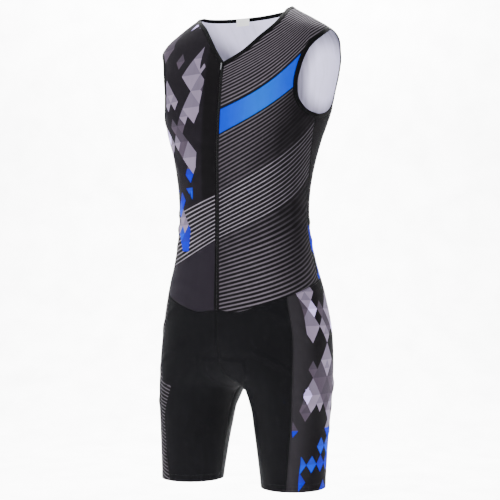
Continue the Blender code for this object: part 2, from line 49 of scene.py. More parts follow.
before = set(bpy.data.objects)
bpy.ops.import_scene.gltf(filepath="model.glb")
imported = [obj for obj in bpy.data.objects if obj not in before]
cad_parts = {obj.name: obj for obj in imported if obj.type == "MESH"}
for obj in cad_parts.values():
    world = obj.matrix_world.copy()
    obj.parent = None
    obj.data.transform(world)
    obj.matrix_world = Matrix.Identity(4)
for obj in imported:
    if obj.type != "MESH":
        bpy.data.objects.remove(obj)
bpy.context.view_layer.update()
BODY_NAME = "garment"

# ------------------------------------------------------------------ the figure's sizes
# Sections of the figure: height, reach to the outer and the inner side, to the front and the
# back, depth of the widest line, exponent of the oval, and rounding of the fork.
COLUMNS = ("z", "outer", "inner", "front", "back", "mid", "roundness", "soft")
BODY = (
    (+0.017, 0.083, -0.083, -0.028, 0.048, 0.014, 2.0, 0.0),
    (+0.002, 0.101, -0.101, -0.037, 0.059, 0.012, 2.0, 0.0),
    (-0.022, 0.140, -0.140, -0.056, 0.083, 0.012, 2.0, 0.0),
    (-0.048, 0.177, -0.177, -0.066, 0.107, 0.012, 2.1, 0.0),
    (-0.085, 0.184, -0.184, -0.077, 0.125, 0.012, 2.3, 0.0),
    (-0.120, 0.180, -0.180, -0.087, 0.125, 0.010, 2.4, 0.0),
    (-0.150, 0.174, -0.174, -0.093, 0.120, 0.008, 2.4, 0.0),
    (-0.200, 0.163, -0.163, -0.099, 0.114, 0.005, 2.4, 0.0),
    (-0.240, 0.150, -0.150, -0.103, 0.108, 0.003, 2.3, 0.0),
    (-0.285, 0.137, -0.137, -0.105, 0.100, 0.002, 2.3, 0.0),
    (-0.340, 0.129, -0.129, -0.104, 0.092, 0.000, 2.2, 0.0),
    (-0.400, 0.128, -0.128, -0.103, 0.089, 0.000, 2.2, 0.0),
    (-0.460, 0.137, -0.137, -0.104, 0.099, 0.002, 2.2, 0.004),
    (-0.530, 0.156, -0.147, -0.105, 0.113, 0.004, 2.2, 0.010),
    (-0.600, 0.168, -0.112, -0.106, 0.120, 0.008, 2.2, 0.016),
    (-0.660, 0.170, -0.034, -0.103, 0.113, 0.007, 2.2, 0.020),
    (-0.702, 0.170, +0.020, -0.098, 0.102, 0.005, 2.1, 0.020),
    (-0.735, 0.170, +0.034, -0.093, 0.090, 0.001, 2.1, 0.020),
    (-0.785, 0.170, +0.041, -0.086, 0.075, -0.005, 2.0, 0.020),
    (-0.890, 0.168, +0.053, -0.072, 0.050, -0.011, 2.0, 0.018),
)

# Cutting lines, as (w, z) places that a smooth curve runs through.
NECK_CORNER = (0.0, 0.002)
SHOULDER_TIP = (0.0, -0.043)
UNDERARM = (-0.10, -0.211)
ZIP_TOP = (-1.0, -0.115)
NECK_FRONT_LEFT = (ZIP_TOP, (-0.733, -0.094), (-0.511, -0.064), (-0.384, -0.0445),
                   (-0.276, -0.0245), (-0.146, -0.0070), NECK_CORNER)
NECK_FRONT_RIGHT = (ZIP_TOP, (-0.860, -0.090), (-0.722, -0.063), (-0.566, -0.037),
                    (-0.325, -0.0140), NECK_CORNER)
ARMHOLE_FRONT = (SHOULDER_TIP, (-0.148, -0.062), (-0.243, -0.090), (-0.296, -0.125),
                 (-0.312, -0.157), (-0.291, -0.184), (-0.215, -0.204), UNDERARM)
ARMHOLE_BACK = (SHOULDER_TIP, (0.100, -0.062), (0.180, -0.092), (0.215, -0.125),
                (0.205, -0.153), (0.150, -0.184), (0.035, -0.205), UNDERARM)
SIDE_SEAM = (UNDERARM, (-0.050, -0.250), (0.020, -0.300), (0.060, -0.360), (0.060, -0.420),
             (0.060, -0.505))
WAIST_SEAM = ((-1.0, -0.561), (-0.85, -0.564), (-0.60, -0.552), (-0.36, -0.536),
              (0.06, -0.505), (0.45, -0.494), (1.0, -0.490))
LEG_SEAM_COLUMNS = ("z", "front", "back")
LEG_SEAMS = (
    (-0.490, 0.126, 0.108), (-0.540, 0.128, 0.112), (-0.600, 0.137, 0.120),
    (-0.690, 0.140, 0.128), (-0.750, 0.138, 0.132), (-0.810, 0.132, 0.134),
    (-0.890, 0.123, 0.134),
)
FRONT_SEAM_W, BACK_SEAM_W, SIDE_SEAM_W = -0.36, 0.45, 0.06
HEM_Z, CROTCH_Z = -0.886, -0.702
SLIT_HALF = 0.0024
PAD_FRONT_Z, PAD_BACK_Z, PAD_LEG_Z = -0.655, -0.590, -0.740
PAD_FRONT_HALF, PAD_BACK_HALF = 0.032, 0.070
ROWS = {"shoulder": 3, "neck": 8, "armhole": 14, "side": 10, "rise": 12, "leg": 10}
COLS = {"front_inner": 8, "front_outer": 5, "back_outer": 4, "back_inner": 8}

# Flow of the printed pinstripes: a line that crosses the centre front at height start rises
# over the arc a towards the wearer's left by rise * a + curl * a^3, and falls towards the
# right by right * a - RIGHT_CURL * a^3. number counts the lines down the centre front.
FLOW_COLUMNS = ("start", "rise", "curl", "right", "number")
FLOW = (
    (-0.565, 0.18, 4.2, 0.50, 64.0), (-0.5245, 0.22, 4.7, 0.50, 58.3),
    (-0.476, 0.29, 4.2, 0.50, 51.5), (-0.437, 0.40, 5.0, 0.50, 46.0),
    (-0.4302, 0.42, 5.2, 0.49, 45.0), (-0.3516, 0.46, 6.2, 0.35, 34.0),
    (-0.3443, 0.46, 6.6, 0.35, 33.0), (-0.302, 0.46, 8.6, 0.32, 27.3),
    (-0.2547, 0.43, 8.0, 0.30, 21.0), (-0.2423, 0.42, 8.2, 0.30, 19.3),
    (-0.1973, 0.34, 13.8, 0.30, 13.0), (-0.183, 0.34, 13.8, 0.30, 11.0),
    (-0.150, 0.36, 13.0, 0.30, 6.0), (-0.1184, 0.38, 12.0, 0.30, 0.0),
)
SASH_TOP, SASH_BOTTOM = 13.0, 19.3           # in stripe numbers
BAND_TOP, BAND_BOTTOM = 33.5, 45.5           # the bright stripes
# Strength of the stripes by number (rows) and by arc from the centre front (columns).
FADE_ARC = (0.0, 0.05, 0.09, 0.12, 0.15, 0.20)
FADE_NUMBER = (0, 12, 21, 28, 33, 34, 45, 46, 52, 64)
FADE = (
    (0.70, 0.80, 0.82, 0.82, 0.80, 0.80),
    (0.60, 0.85, 0.82, 0.75, 0.65, 0.60),
    (0.55, 0.68, 0.55, 0.32, 0.05, 0.02),
    (0.50, 0.60, 0.36, 0.10, 0.02, 0.02),
    (0.40, 0.55, 0.25, 0.05, 0.02, 0.02),
    (0.75, 0.95, 0.80, 0.42, 0.26, 0.22),
    (0.80, 0.90, 0.78, 0.48, 0.28, 0.24),
    (0.35, 0.45, 0.36, 0.10, 0.04, 0.04),
    (0.45, 0.70, 0.70, 0.40, 0.10, 0.10),
    (0.50, 0.70, 0.80, 0.68, 0.40, 0.32),
)

# Creases and soft ripples: side (1 the wearer's left, -1 the right), arc from the side line
# (minus to the front), height, half length, half width, turn in degrees, bend and height of
# the ridge, in metres.
CREASE_COLUMNS = ("side", "arc", "z", "reach", "width", "turn", "bend", "height")
CREASES = (
    (1, -0.075, -0.245, 0.060, 0.0090, 58, 2.0, 0.0010),
    (1, -0.050, -0.275, 0.050, 0.0070, 66, 1.5, 0.0008),
    (1, -0.020, -0.385, 0.045, 0.0080, 12, 2.5, 0.0013),
    (1, -0.035, -0.415, 0.055, 0.0090, 6, 2.0, 0.0014),
    (1, -0.015, -0.452, 0.040, 0.0080, -4, 2.0, 0.0010),
    (1, -0.130, -0.500, 0.060, 0.0110, 14, 1.0, 0.0008),
    (1, 0.060, -0.398, 0.055, 0.0090, -8, 2.0, 0.0012),
    (1, 0.085, -0.430, 0.060, 0.0100, -4, 1.5, 0.0014),
    (1, 0.150, -0.412, 0.060, 0.0100, 3, 1.0, 0.0012),
    (1, 0.120, -0.462, 0.050, 0.0090, 6, 1.5, 0.0010),
    (1, 0.052, -0.130, 0.070, 0.0090, 82, 0.8, 0.0012),
    (1, 0.075, -0.160, 0.080, 0.0100, 76, 0.6, 0.0010),
    (1, 0.110, -0.250, 0.070, 0.0120, 70, 0.8, 0.0010),
    (1, -0.085, -0.585, 0.060, 0.0100, -38, 1.2, 0.0009),
    (1, -0.120, -0.655, 0.050, 0.0080, -30, 1.5, 0.0011),
    (1, -0.060, -0.725, 0.050, 0.0100, -18, 1.5, 0.0008),
    (1, 0.075, -0.690, 0.060, 0.0100, 24, 1.5, 0.0014),
    (1, 0.100, -0.722, 0.055, 0.0090, 18, 1.5, 0.0012),
    (1, 0.055, -0.780, 0.050, 0.0090, 10, 1.5, 0.0008),
    (-1, -0.065, -0.250, 0.055, 0.0090, 56, 2.0, 0.0010),
    (-1, -0.025, -0.372, 0.050, 0.0080, 10, 2.2, 0.0012),
    (-1, -0.030, -0.405, 0.060, 0.0090, 4, 2.0, 0.0014),
    (-1, -0.010, -0.440, 0.045, 0.0080, -6, 2.0, 0.0011),
    (-1, -0.120, -0.512, 0.060, 0.0110, 10, 1.0, 0.0008),
    (-1, 0.070, -0.404, 0.060, 0.0090, -6, 2.0, 0.0013),
    (-1, 0.095, -0.442, 0.060, 0.0100, -2, 1.5, 0.0012),
    (-1, 0.145, -0.385, 0.050, 0.0100, 4, 1.0, 0.0010),
    (-1, 0.062, -0.145, 0.075, 0.0100, 80, 0.8, 0.0012),
    (-1, 0.105, -0.240, 0.070, 0.0120, 72, 0.8, 0.0009),
    (-1, -0.090, -0.575, 0.060, 0.0100, -36, 1.2, 0.0010),
    (-1, -0.115, -0.648, 0.050, 0.0080, -28, 1.5, 0.0010),
    (-1, -0.070, -0.735, 0.050, 0.0100, -14, 1.5, 0.0008),
    (-1, 0.080, -0.684, 0.060, 0.0100, 22, 1.5, 0.0013),
    (-1, 0.095, -0.716, 0.055, 0.0090, 16, 1.5, 0.0012),
    (-1, 0.050, -0.790, 0.050, 0.0090, 8, 1.5, 0.0008),
)

TAU = 2 * math.pi
FLIP, IN_CENTRE = np.array([-1, 1, 1]), np.array([0, 1, 1])
HALF_WALL = 0.0007                           # half the thickness of the cloth's solids
SHARP_DEGREES = 50                           # edges past this angle are shaded sharp
BEAD_SIDES = 6                               # of a stitch or a zip tooth
ARMHOLE_STEPS, NECK_STEPS, LABEL_STITCHES = 110, 80, 11

# Relief: where the pad's ridge ends, and the heights of the pad's and the hem's edges.
PAD_TOP_Z = -0.58
PAD_RIDGE, PAD_GROOVE, HEM_STEP, HEM_GROOVE = 0.0013, 0.0007, 0.00035, 0.0005
PAD_DEPTH, PAD_EDGE, PAD_RISE, PAD_CHANNEL = 0.0047, 0.0008, 0.0029, 0.0012

# Pinstripes: the cube of the arc turns straight near the shoulder; pitches past the table.
SHOULDER_RUN, SHOULDER_Z, SHOULDER_SLOPE = 0.16, -0.10, 0.035
RIGHT_CURL, LOW_PITCH, HIGH_PITCH = 7.5, 0.0072, 0.0062
LEG_SLOPE, LEG_PITCH = 0.30, 0.0074
ZIP_EDGE, FACETS_END = 0.0043, -0.335        # black beside the zip; lower end of the facets
# Layers of facets: width, height, shift of the seed, and the share left bare.
FACETS = ((0.046, 0.062, 0.0, 0.66), (0.023, 0.031, 5.0, 0.84))
# Painted light and shade of the inner face: ellipses where the colour stays full, each with its
# centre, half sizes, and where the painted light starts to fall off into painted shade and
# ends, as shares of those. They lie behind the neck, the left and the right armhole.
PAINTED_LIGHT_INSIDE = (((0.0, 0.020), (0.112, 0.090), (0.76, 1.22)),
              ((0.125, -0.112), (0.060, 0.072), (0.55, 1.14)),
              ((-0.148, -0.130), (0.050, 0.060), (0.55, 1.14)))

# Zip: the tapes, the coil and its core behind the figure, and the slider's parts.
TAPE_EDGES, TAPE_DEPTH, TAPE_THICK = (0.0019, 0.0133), 0.0017, 0.0006
CORE_HALF, CORE_DEPTH, CORE_THICK = 0.0021, 0.0009, 0.0005
COIL_TOP_Z, COIL_DEPTH, COIL_SHIFT, COIL_LEAN = -0.1075, 0.00075, 0.00045, 0.16
TOOTH = (0.0026, 0.00085, 0.0011)
# Stitches: how far they lie from a seam, from a binding's edge and from the zip's slit.
FLATLOCK_HALF, BAND_STITCH, ZIP_STITCH = 0.0021, 0.0017, 0.0013
SLIDER_Z, LUG_X = -0.113, 0.0018
PIN_OUT, PIN_UP, PIN_HALF, PIN_RADIUS = 0.0029, 0.0025, 0.0021, 0.0005
EYE_RADIUS, EYE_HALF_WALL, EYE_HALF_LENGTH = 0.00092, 0.00018, 0.00105

VIEW_DEGREES, VIEW_Z, LENS, SHIFT = 29.0, -0.525, 75.74, (0.0108, 0.081)

# Finish of each material, and fixed colours that are no setting.
FINISH_COLUMNS = ("Roughness", "Specular IOR Level", "Sheen Weight", "Metallic")
FINISHES = {
    "print": (0.65, 0.008, 0.0, 0.0), "plain_lycra": (0.60, 0.008, 0.0, 0.0),
    "lycra_inside": (0.80, 0.35, 0.1, 0.0), "inner_cloth": (0.85, 0.2, 0.0, 0.0),
    "band_cloth": (0.60, 0.012, 0.0, 0.0), "zip_tape_cloth": (0.70, 0.05, 0.0, 0.0),
    "pad_cloth": (0.85, 0.35, 0.3, 0.0), "thread": (0.50, 0.05, 0.0, 0.0),
    "label_thread": (0.60, 0.4, 0.2, 0.0), "label_tape": (0.75, 0.3, 0.1, 0.0),
    "nylon_coil": (0.45, 0.08, 0.0, 0.0), "cast_slider": (0.40, 0.2, 0.0, 0.3),
    "tab_metal": (0.34, 0.5, 0.0, 0.5), "paper": (0.90, 0.1, 0.0, 0.0),
}
SASH_EDGE, FACET_SHADE = (0.006, 0.008, 0.016), (0.02, 0.02, 0.025)
LEG_GROUND, LYCRA_INSIDE = (0.019, 0.0175, 0.0205), (0.045, 0.045, 0.050)
THREAD_DARK, LABEL_WHITE = (0.012, 0.012, 0.013), (0.86, 0.86, 0.85)
NYLON, CAST = (0.006, 0.006, 0.007), (0.012, 0.012, 0.014)


def linear(code):
    """Scene-linear red, green and blue of a hex colour."""
    parts = np.array([int(code[i:i + 2], 16) / 255 for i in (1, 3, 5)])
    return tuple(np.where(parts < 0.04045, parts / 12.92, ((parts + 0.055) / 1.055) ** 2.4))


def named(table, names, name):
    """One named column of a table."""
    return np.array([row[names.index(name)] for row in table])


def angles(count):
    """Angles evenly round a turn."""
    return np.linspace(0, TAU, count + 1)[:-1]


def ease(share):
    """Smooth step of a share from 0 to 1."""
    return share * share * (3 - 2 * share)


def run_of(points, axis=0):
    """Length run along one way of a line or a grid of points, from 0."""
    steps = np.linalg.norm(np.diff(points, axis=axis), axis=-1)
    return np.insert(np.cumsum(steps, axis=axis), 0, 0.0, axis=axis)


# ------------------------------------------------------------------ settings of the add-on
def length_property(name, text, default):
    """A length that a user may change."""
    return FloatProperty(name=name, description=text, default=default, min=0.0,
                         precision=5, unit="LENGTH")


def colour_property(name, text, code):
    """A colour that a user may change."""
    return FloatVectorProperty(name=name, description=text, default=linear(code), size=3,
                               min=0.0, max=1.0, subtype="COLOR")


class SkinsuitSizes(bpy.types.PropertyGroup):
    """Sizes of the cloth and its sewing."""
    cloth: length_property("Cloth", "Thickness of the knitted cloth", 0.0009)
    seam_groove: length_property("Seam groove", "How far cloth dips into a seam", 0.0006)
    knit_pitch: length_property("Knit pitch", "Width of one column of knit loops", 0.0011)
    binding_width: length_property("Binding width", "Width of the turned bands", 0.0085)
    binding_thick: length_property("Binding thickness", "Thickness of the bands", 0.0024)
    stitch: length_property("Stitch", "Length of one stitch", 0.0024)
    thread: length_property("Thread", "Thickness of the sewing thread", 0.00045)
    tooth_pitch: length_property("Zip pitch", "Distance between the zip's teeth", 0.0013)
    hem: length_property("Hem", "Depth of the turned leg hem", 0.010)
    crease: FloatProperty(name="Creases", description="Share of the creases' full height",
                          default=1.5, min=0.0, max=2.0, subtype="FACTOR")


class SkinsuitColours(bpy.types.PropertyGroup):
    """Colours of the cloth and the trim."""
    black: colour_property("Black", "Ground of the print", "#111012")
    charcoal: colour_property("Charcoal", "Plain charcoal parts of the print", "#1f1c22")
    lycra: colour_property("Lycra", "Plain panels of the shorts", "#111113")
    stripe: colour_property("Stripe", "Dim pinstripes", "#605a62")
    bright: colour_property("Bright stripe", "Pinstripes of the bright band", "#7c7680")
    sash: colour_property("Sash", "Blue sash, middle", "#0053bc")
    sash_deep: colour_property("Sash ends", "Blue sash, ends", "#002cb4")
    leg_blue: colour_property("Leg blue", "Blue facets", "#000ca8")
    mauve: colour_property("Mauve", "Dark facets", "#3f3742")
    grey: colour_property("Grey", "Middle facets", "#6f6578")
    pale: colour_property("Pale", "Light facets", "#bdaae8")
    inside: colour_property("Inside", "Inner face of the top", "#e6e2ff")
    band: colour_property("Bands", "Bindings, tapes and thread", "#0c0c0d")
    pad: colour_property("Pad", "Seat pad", "#22356b")
    tab: colour_property("Pull tab", "Hard pull tab of the zip", "#58595e")
    floor: colour_property("Floor", "Floor and backdrop", "#fbfbfb")


def sizes():
    """The sizes now set."""
    return bpy.context.scene.skinsuit_sizes


def colours():
    """The colours now set."""
    return bpy.context.scene.skinsuit_colours


# ------------------------------------------------------------------ curves and the figure
def smooth(at, marks, values):
    """Cubic curve through (marks, values); its slope at a mark weighs the chords beside it."""
    order = np.argsort(marks)
    marks = np.asarray(marks, float)[order]
    values = np.asarray(values, float)[order]
    step = np.diff(marks)
    chord = np.diff(values) / step
    slope = np.empty(len(marks))
    slope[1:-1] = (chord[:-1] * step[1:] + chord[1:] * step[:-1]) / (step[:-1] + step[1:])
    slope[0] = chord[0]
    slope[-1] = chord[-1]
    i = np.clip(np.searchsorted(marks, at) - 1, 0, len(step) - 1)
    t = (at - marks[i]) / step[i]
    near = (1 + 2 * t) * (1 - t) ** 2 * values[i] + t * (1 - t) ** 2 * step[i] * slope[i]
    far = t * t * (3 - 2 * t) * values[i + 1] + t * t * (t - 1) * step[i] * slope[i + 1]
    return near + far


BODY_SIZES = {name: named(BODY, COLUMNS, name) for name in COLUMNS}
BODY_Z = BODY_SIZES["z"]


def section(z):
    """Sizes of the figure's section at height z."""
    size = {name: smooth(z, BODY_Z, BODY_SIZES[name]) for name in COLUMNS[1:]}
    size["centre"] = (size["outer"] + size["inner"]) / 2
    size["half"] = (size["outer"] - size["inner"]) / 2
    size["soft"] = np.maximum(size["soft"], 0.0)
    return size


def depth(size, is_back):
    """Reach of a section forwards or backwards of its widest line."""
    return np.where(is_back, size["back"] - size["mid"], size["mid"] - size["front"])


def angle_at(size, x, is_back):
    """Polar angle, about the section's centre, of its front or back point at x."""
    across = (np.sqrt(x * x + size["soft"] ** 2) - size["centre"]) / size["half"]
    across = np.clip(across, -1.0, 1.0)
    n = size["roundness"]
    reach = depth(size, is_back) * (1 - np.abs(across) ** n) ** (1 / n)
    return np.arctan2(reach, across * size["half"])


def figure(w, z):
    """Points of the figure for the places (w, z), on the wearer's left.

    The section is the oval |X/half|^n + |Y/depth|^n = 1 about its centre, and the x of a
    point is sqrt(X^2 - soft^2), which rounds the fork between the legs.
    """
    w, z = np.broadcast_arrays(np.asarray(w, float), np.asarray(z, float))
    size = section(z)
    is_back = w > 0
    angle = w * angle_at(size, np.zeros_like(w), is_back)
    n = size["roundness"]
    cos, sin = np.cos(angle), np.sin(angle)
    reach = np.abs(cos / size["half"]) ** n + np.abs(sin / depth(size, is_back)) ** n
    reach = reach ** (-1 / n)
    wide = size["centre"] + reach * cos
    x = np.sqrt(np.maximum(wide * wide - size["soft"] ** 2, 0.0))
    return np.stack([x, size["mid"] + reach * sin, z], axis=-1)


def w_at(x, z, is_back):
    """w of the figure's front or back point with this x and z."""
    size = section(z)
    side = 1.0 if is_back else -1.0
    return side * angle_at(size, x, is_back) / angle_at(size, 0.0 * x, is_back)


def unit(vectors):
    """Vectors scaled to length 1."""
    return vectors / np.linalg.norm(vectors, axis=-1, keepdims=True)


def outward(w, z):
    """Unit normals of the figure, out of the suit: the cross product of its two slopes."""
    w, z = np.broadcast_arrays(np.asarray(w, float), np.asarray(z, float))
    reach = 0.004
    inner_w = np.clip(w, -1 + reach, 1 - reach)
    around = figure(inner_w + reach, z) - figure(inner_w - reach, z)
    down = figure(inner_w, z - 0.0005) - figure(inner_w, z + 0.0005)
    return unit(np.cross(down, around))


def look_up(rows, cols, values, at_row, at_col):
    """Straight blend within a table whose rows and columns stand at rising marks."""
    rows, cols, values = (np.asarray(part, float) for part in (rows, cols, values))
    i = np.clip(np.searchsorted(rows, at_row) - 1, 0, len(rows) - 2)
    j = np.clip(np.searchsorted(cols, at_col) - 1, 0, len(cols) - 2)
    s = np.clip((at_row - rows[i]) / (rows[i + 1] - rows[i]), 0, 1)
    t = np.clip((at_col - cols[j]) / (cols[j + 1] - cols[j]), 0, 1)
    near = (1 - t) * values[i, j] + t * values[i, j + 1]
    far = (1 - t) * values[i + 1, j] + t * values[i + 1, j + 1]
    return (1 - s) * near + s * far


ARC_W = np.linspace(-1, 1, 161)
ARC_Z = np.linspace(BODY_Z.min(), BODY_Z.max(), 361)
ARC_RUN = run_of(figure(*np.meshgrid(ARC_W, ARC_Z)), 1)


def arc(w, z, start=0.0):
    """Length round the figure at height z, from w = start."""
    return (look_up(ARC_Z, ARC_W, ARC_RUN, z, w)
            - look_up(ARC_Z, ARC_W, ARC_RUN, z, np.full(np.shape(z), start)))


def along(points, share, before=None, after=None):
    """Places at shares of the smooth curve through (w, z) points.

    before and after are points of a curve that this one carries on from or into.
    """
    places = np.array([p for p in (before, *points, after) if p is not None], float)
    run = run_of(figure(places[:, 0], places[:, 1]))
    start = run[0 if before is None else 1]
    end = run[-1 if after is None else -2]
    at = start + (end - start) * share
    return np.stack([smooth(at, run, places[:, 0]), smooth(at, run, places[:, 1])], axis=-1)


def stretches(at, *parts):
    """Places on curves end to end: each part has its number of rows and its function."""
    made = np.zeros((len(at), 2))
    start = 0
    for rows, curve in parts:
        inside = (at >= start) & (at <= start + rows)
        made[inside] = curve((at[inside] - start) / rows)
        start += rows
    return made


def patch(top, bottom, left, right, across, down):
    """Grid of places filling four edge curves (a Coons patch)."""
    s = across[None, :, None]
    t = down[:, None, None]
    sides = (1 - s) * left[:, None] + s * right[:, None]
    ends = (1 - t) * top[None] + t * bottom[None]
    corners = ((1 - s) * (1 - t) * top[0] + s * (1 - t) * top[-1]
               + (1 - s) * t * bottom[0] + s * t * bottom[-1])
    return sides + ends - corners


def marks(count, each):
    """Marks from 0 to count, each step divided, with more of them close to both ends."""
    even = np.linspace(0, count, count * each + 1)
    close = np.array([0.022, 0.05, 0.085, 0.13])
    return np.unique(np.round(np.concatenate([even, close, count - close]), 6))


def shares(values):
    """Where each value lies between the first and the last."""
    return (values - values[0]) / (values[-1] - values[0])


def waist(w):
    """Places on the waist seam."""
    table = np.array(WAIST_SEAM)
    return np.stack([w, smooth(w, table[:, 0], table[:, 1])], axis=-1)


def shoulder(share):
    """Places down the shoulder line."""
    return along((NECK_CORNER, SHOULDER_TIP), share)


def armhole_front(share):
    """Places down the front edge of the armhole."""
    return along(ARMHOLE_FRONT, share, ARMHOLE_BACK[1], ARMHOLE_BACK[-2])


def armhole_back(share):
    """Places down the back edge of the armhole."""
    return along(ARMHOLE_BACK, share, ARMHOLE_FRONT[1], ARMHOLE_FRONT[-2])


def side_seam(share):
    """Places down the side seam of the top."""
    return along(SIDE_SEAM, share)


def beside_slit(places):
    """Places moved out of the slit between the fronts."""
    edge = w_at(np.full(len(places), SLIT_HALF), places[:, 1], False)
    return np.stack([np.maximum(places[:, 0], edge), places[:, 1]], axis=-1)


def front_places(neck):
    """Grid of one front of the top. Its rows start as the shoulder line."""
    across = marks(COLS["front_inner"] + COLS["front_outer"], 7)
    w = np.interp(across, (0, COLS["front_inner"], across[-1]),
                  (-1.0, FRONT_SEAM_W, SIDE_SEAM_W))
    rows = ROWS["armhole"] + ROWS["side"]
    down = marks(rows, 5)
    bottom = waist(w)
    left = stretches(down, (ROWS["neck"], lambda t: along(neck, 1 - t)),
                     (rows - ROWS["neck"], lambda t: along((ZIP_TOP, bottom[0]), t)))
    right = stretches(down, (ROWS["armhole"], armhole_front), (ROWS["side"], side_seam))
    return patch(shoulder(shares(across)), bottom, beside_slit(left), right, shares(w),
                 down / rows)


def back_places():
    """Grid of half of the back of the top, from the left shoulder to the centre back."""
    across = marks(COLS["back_outer"] + COLS["back_inner"], 6)
    across = across[(across < 11.5) | (np.abs(across * 6 % 1) < 1e-6)]
    w = np.interp(across, (0, COLS["back_outer"], across[-1]),
                  (SIDE_SEAM_W, BACK_SEAM_W, 1.0))
    rows = ROWS["shoulder"] + ROWS["armhole"] + ROWS["side"]
    at = marks(rows, 5)
    left = stretches(at, (ROWS["shoulder"], shoulder), (ROWS["armhole"], armhole_back),
                     (ROWS["side"], side_seam))
    down = (shares(left[:, 1]) + 2 * at / rows) / 3
    top = np.stack([shares(w), np.full(len(w), NECK_CORNER[1])], axis=-1)
    bottom = waist(w)
    right = np.stack([np.ones(len(at)), top[-1, 1] + (bottom[-1, 1] - top[-1, 1]) * down], -1)
    return patch(top, bottom, left, right, shares(w), down)


def leg_heights(at, top_z):
    """Heights down the shorts, with rows that crowd quadratically towards the fork."""
    rise, leg = ROWS["rise"], ROWS["leg"]
    upper = CROTCH_Z + (top_z - CROTCH_Z) * (1 - np.minimum(at, rise) / rise) ** 2
    return upper + (HEM_Z - CROTCH_Z) * (np.maximum(at - rise, 0) / leg) ** 2


def leg_seam(at, name, start_w):
    """Seam between a side panel and the front or back of the shorts."""
    start = waist(np.array([start_w]))[0]
    z = leg_heights(at, start[1])
    x = smooth(z, named(LEG_SEAMS, LEG_SEAM_COLUMNS, "z"),
               named(LEG_SEAMS, LEG_SEAM_COLUMNS, name))
    x = x + (figure(*start)[0] - x[0]) * (1 - shares(z)) ** 3
    return np.stack([w_at(x, z, name == "back"), z], axis=-1)


def middle_edge(at, w):
    """Centre seam of the shorts down to the fork, then the inner leg seam."""
    z = leg_heights(at, waist(np.array([w]))[0, 1])
    return np.stack([np.full(len(z), w), z], axis=-1)


def shorts_places(name):
    """Grid of the front, side or back panel of one leg."""
    at = marks(ROWS["rise"] + ROWS["leg"], 5)
    front_seam = leg_seam(at, "front", FRONT_SEAM_W)
    back_seam = leg_seam(at, "back", BACK_SEAM_W)
    if name == "front":
        w = np.interp(marks(8, 8), (0, 8), (-1.0, FRONT_SEAM_W))
        left, right = middle_edge(at, -1.0), front_seam
    elif name == "side":
        w = np.interp(marks(9, 7), (0, 5, 9), (FRONT_SEAM_W, SIDE_SEAM_W, BACK_SEAM_W))
        left, right = front_seam, back_seam
    else:
        w = np.interp(marks(8, 8), (0, 8), (BACK_SEAM_W, 1.0))
        left, right = back_seam, middle_edge(at, 1.0)
    hem_w = left[-1, 0] + (right[-1, 0] - left[-1, 0]) * shares(w)
    bottom = np.stack([hem_w, np.full(len(w), HEM_Z)], axis=-1)
    return patch(waist(w), bottom, left, right, shares(w), shares(left[:, 1]))


# ------------------------------------------------------------------ relief of the cloth
def pad_outline(x, z, is_back, side):
    """How far a place lies inside the pad's outline, in metres, for the ridge it raises."""
    if is_back:
        half = 0.066 - 0.030 * np.clip((PAD_BACK_Z - z) / 0.10, 0, 1) ** 1.5
        return np.minimum(half - x, PAD_BACK_Z - 0.004 - z)
    widest = 0.056 if side > 0 else 0.032
    half = widest - (widest - 0.016) * np.clip((-0.672 - z) / 0.045, 0, 1) ** 1.3
    return np.minimum(half - x, PAD_FRONT_Z + 0.004 - z)


def relief(w, z, side, points):
    """How far the cloth stands out of the figure: creases, the pad's ridge and the hem.

    A crease is height * (1 - v^2) * exp(-v^2 - u^4), a ridge between two troughs, where u
    runs along it and v across its bend.
    """
    at = arc(w, z)
    total = np.zeros(np.shape(z))
    for row in CREASES:
        crease = dict(zip(CREASE_COLUMNS, row))
        if crease["side"] != side:
            continue
        turn = math.radians(crease["turn"])
        east, north = at - crease["arc"], z - crease["z"]
        u = (east * math.cos(turn) + north * math.sin(turn)) / crease["reach"]
        v = north * math.cos(turn) - east * math.sin(turn)
        v = (v + crease["bend"] * (u * crease["reach"]) ** 2) / crease["width"]
        total += crease["height"] * (1 - v * v) * np.exp(-v * v - u ** 4)
    total *= sizes().crease
    inside = np.where(w > 0, pad_outline(points[..., 0], z, True, side),
                      pad_outline(points[..., 0], z, False, side))
    inside = np.where(z > PAD_TOP_Z, -1.0, inside)
    total += PAD_RIDGE * ease(np.clip(inside / 0.006 + 0.5, 0, 1))
    total -= PAD_GROOVE * np.exp(-((inside + 0.006) / 0.005) ** 2)
    hem_line = HEM_Z + sizes().hem
    total += HEM_STEP * (z < hem_line) - HEM_GROOVE * np.exp(-((z - hem_line) / 0.0011) ** 2)
    return total


def border_distance(points, open_bottom=False, open_side=False):
    """Distance of each point of a grid from its nearest sewn edge, along rows and columns."""
    down, across = run_of(points), run_of(points, 1)
    if not open_bottom:
        down = np.minimum(down, down[-1:] - down)
    if not open_side:
        across = np.minimum(across, across[:, -1:] - across)
    return np.minimum(down, across)


def pull_in(points, gap):
    """Move a grid's border into the piece by a gap."""
    for edge, inner in (((0,), (1,)), ((-1,), (-2,)), ((slice(None), 0), (slice(None), 1)),
                        ((slice(None), -1), (slice(None), -2))):
        points[edge] += unit(points[inner] - points[edge]) * gap
    return points


# ------------------------------------------------------------------ meshes
def rim(rows, cols):
    """Indices round a grid's border, back to the first."""
    index = np.arange(rows * cols).reshape(rows, cols)
    return np.concatenate([index[0, :-1], index[:-1, -1], index[-1, :0:-1], index[:0:-1, 0],
                           index[0, :1]])


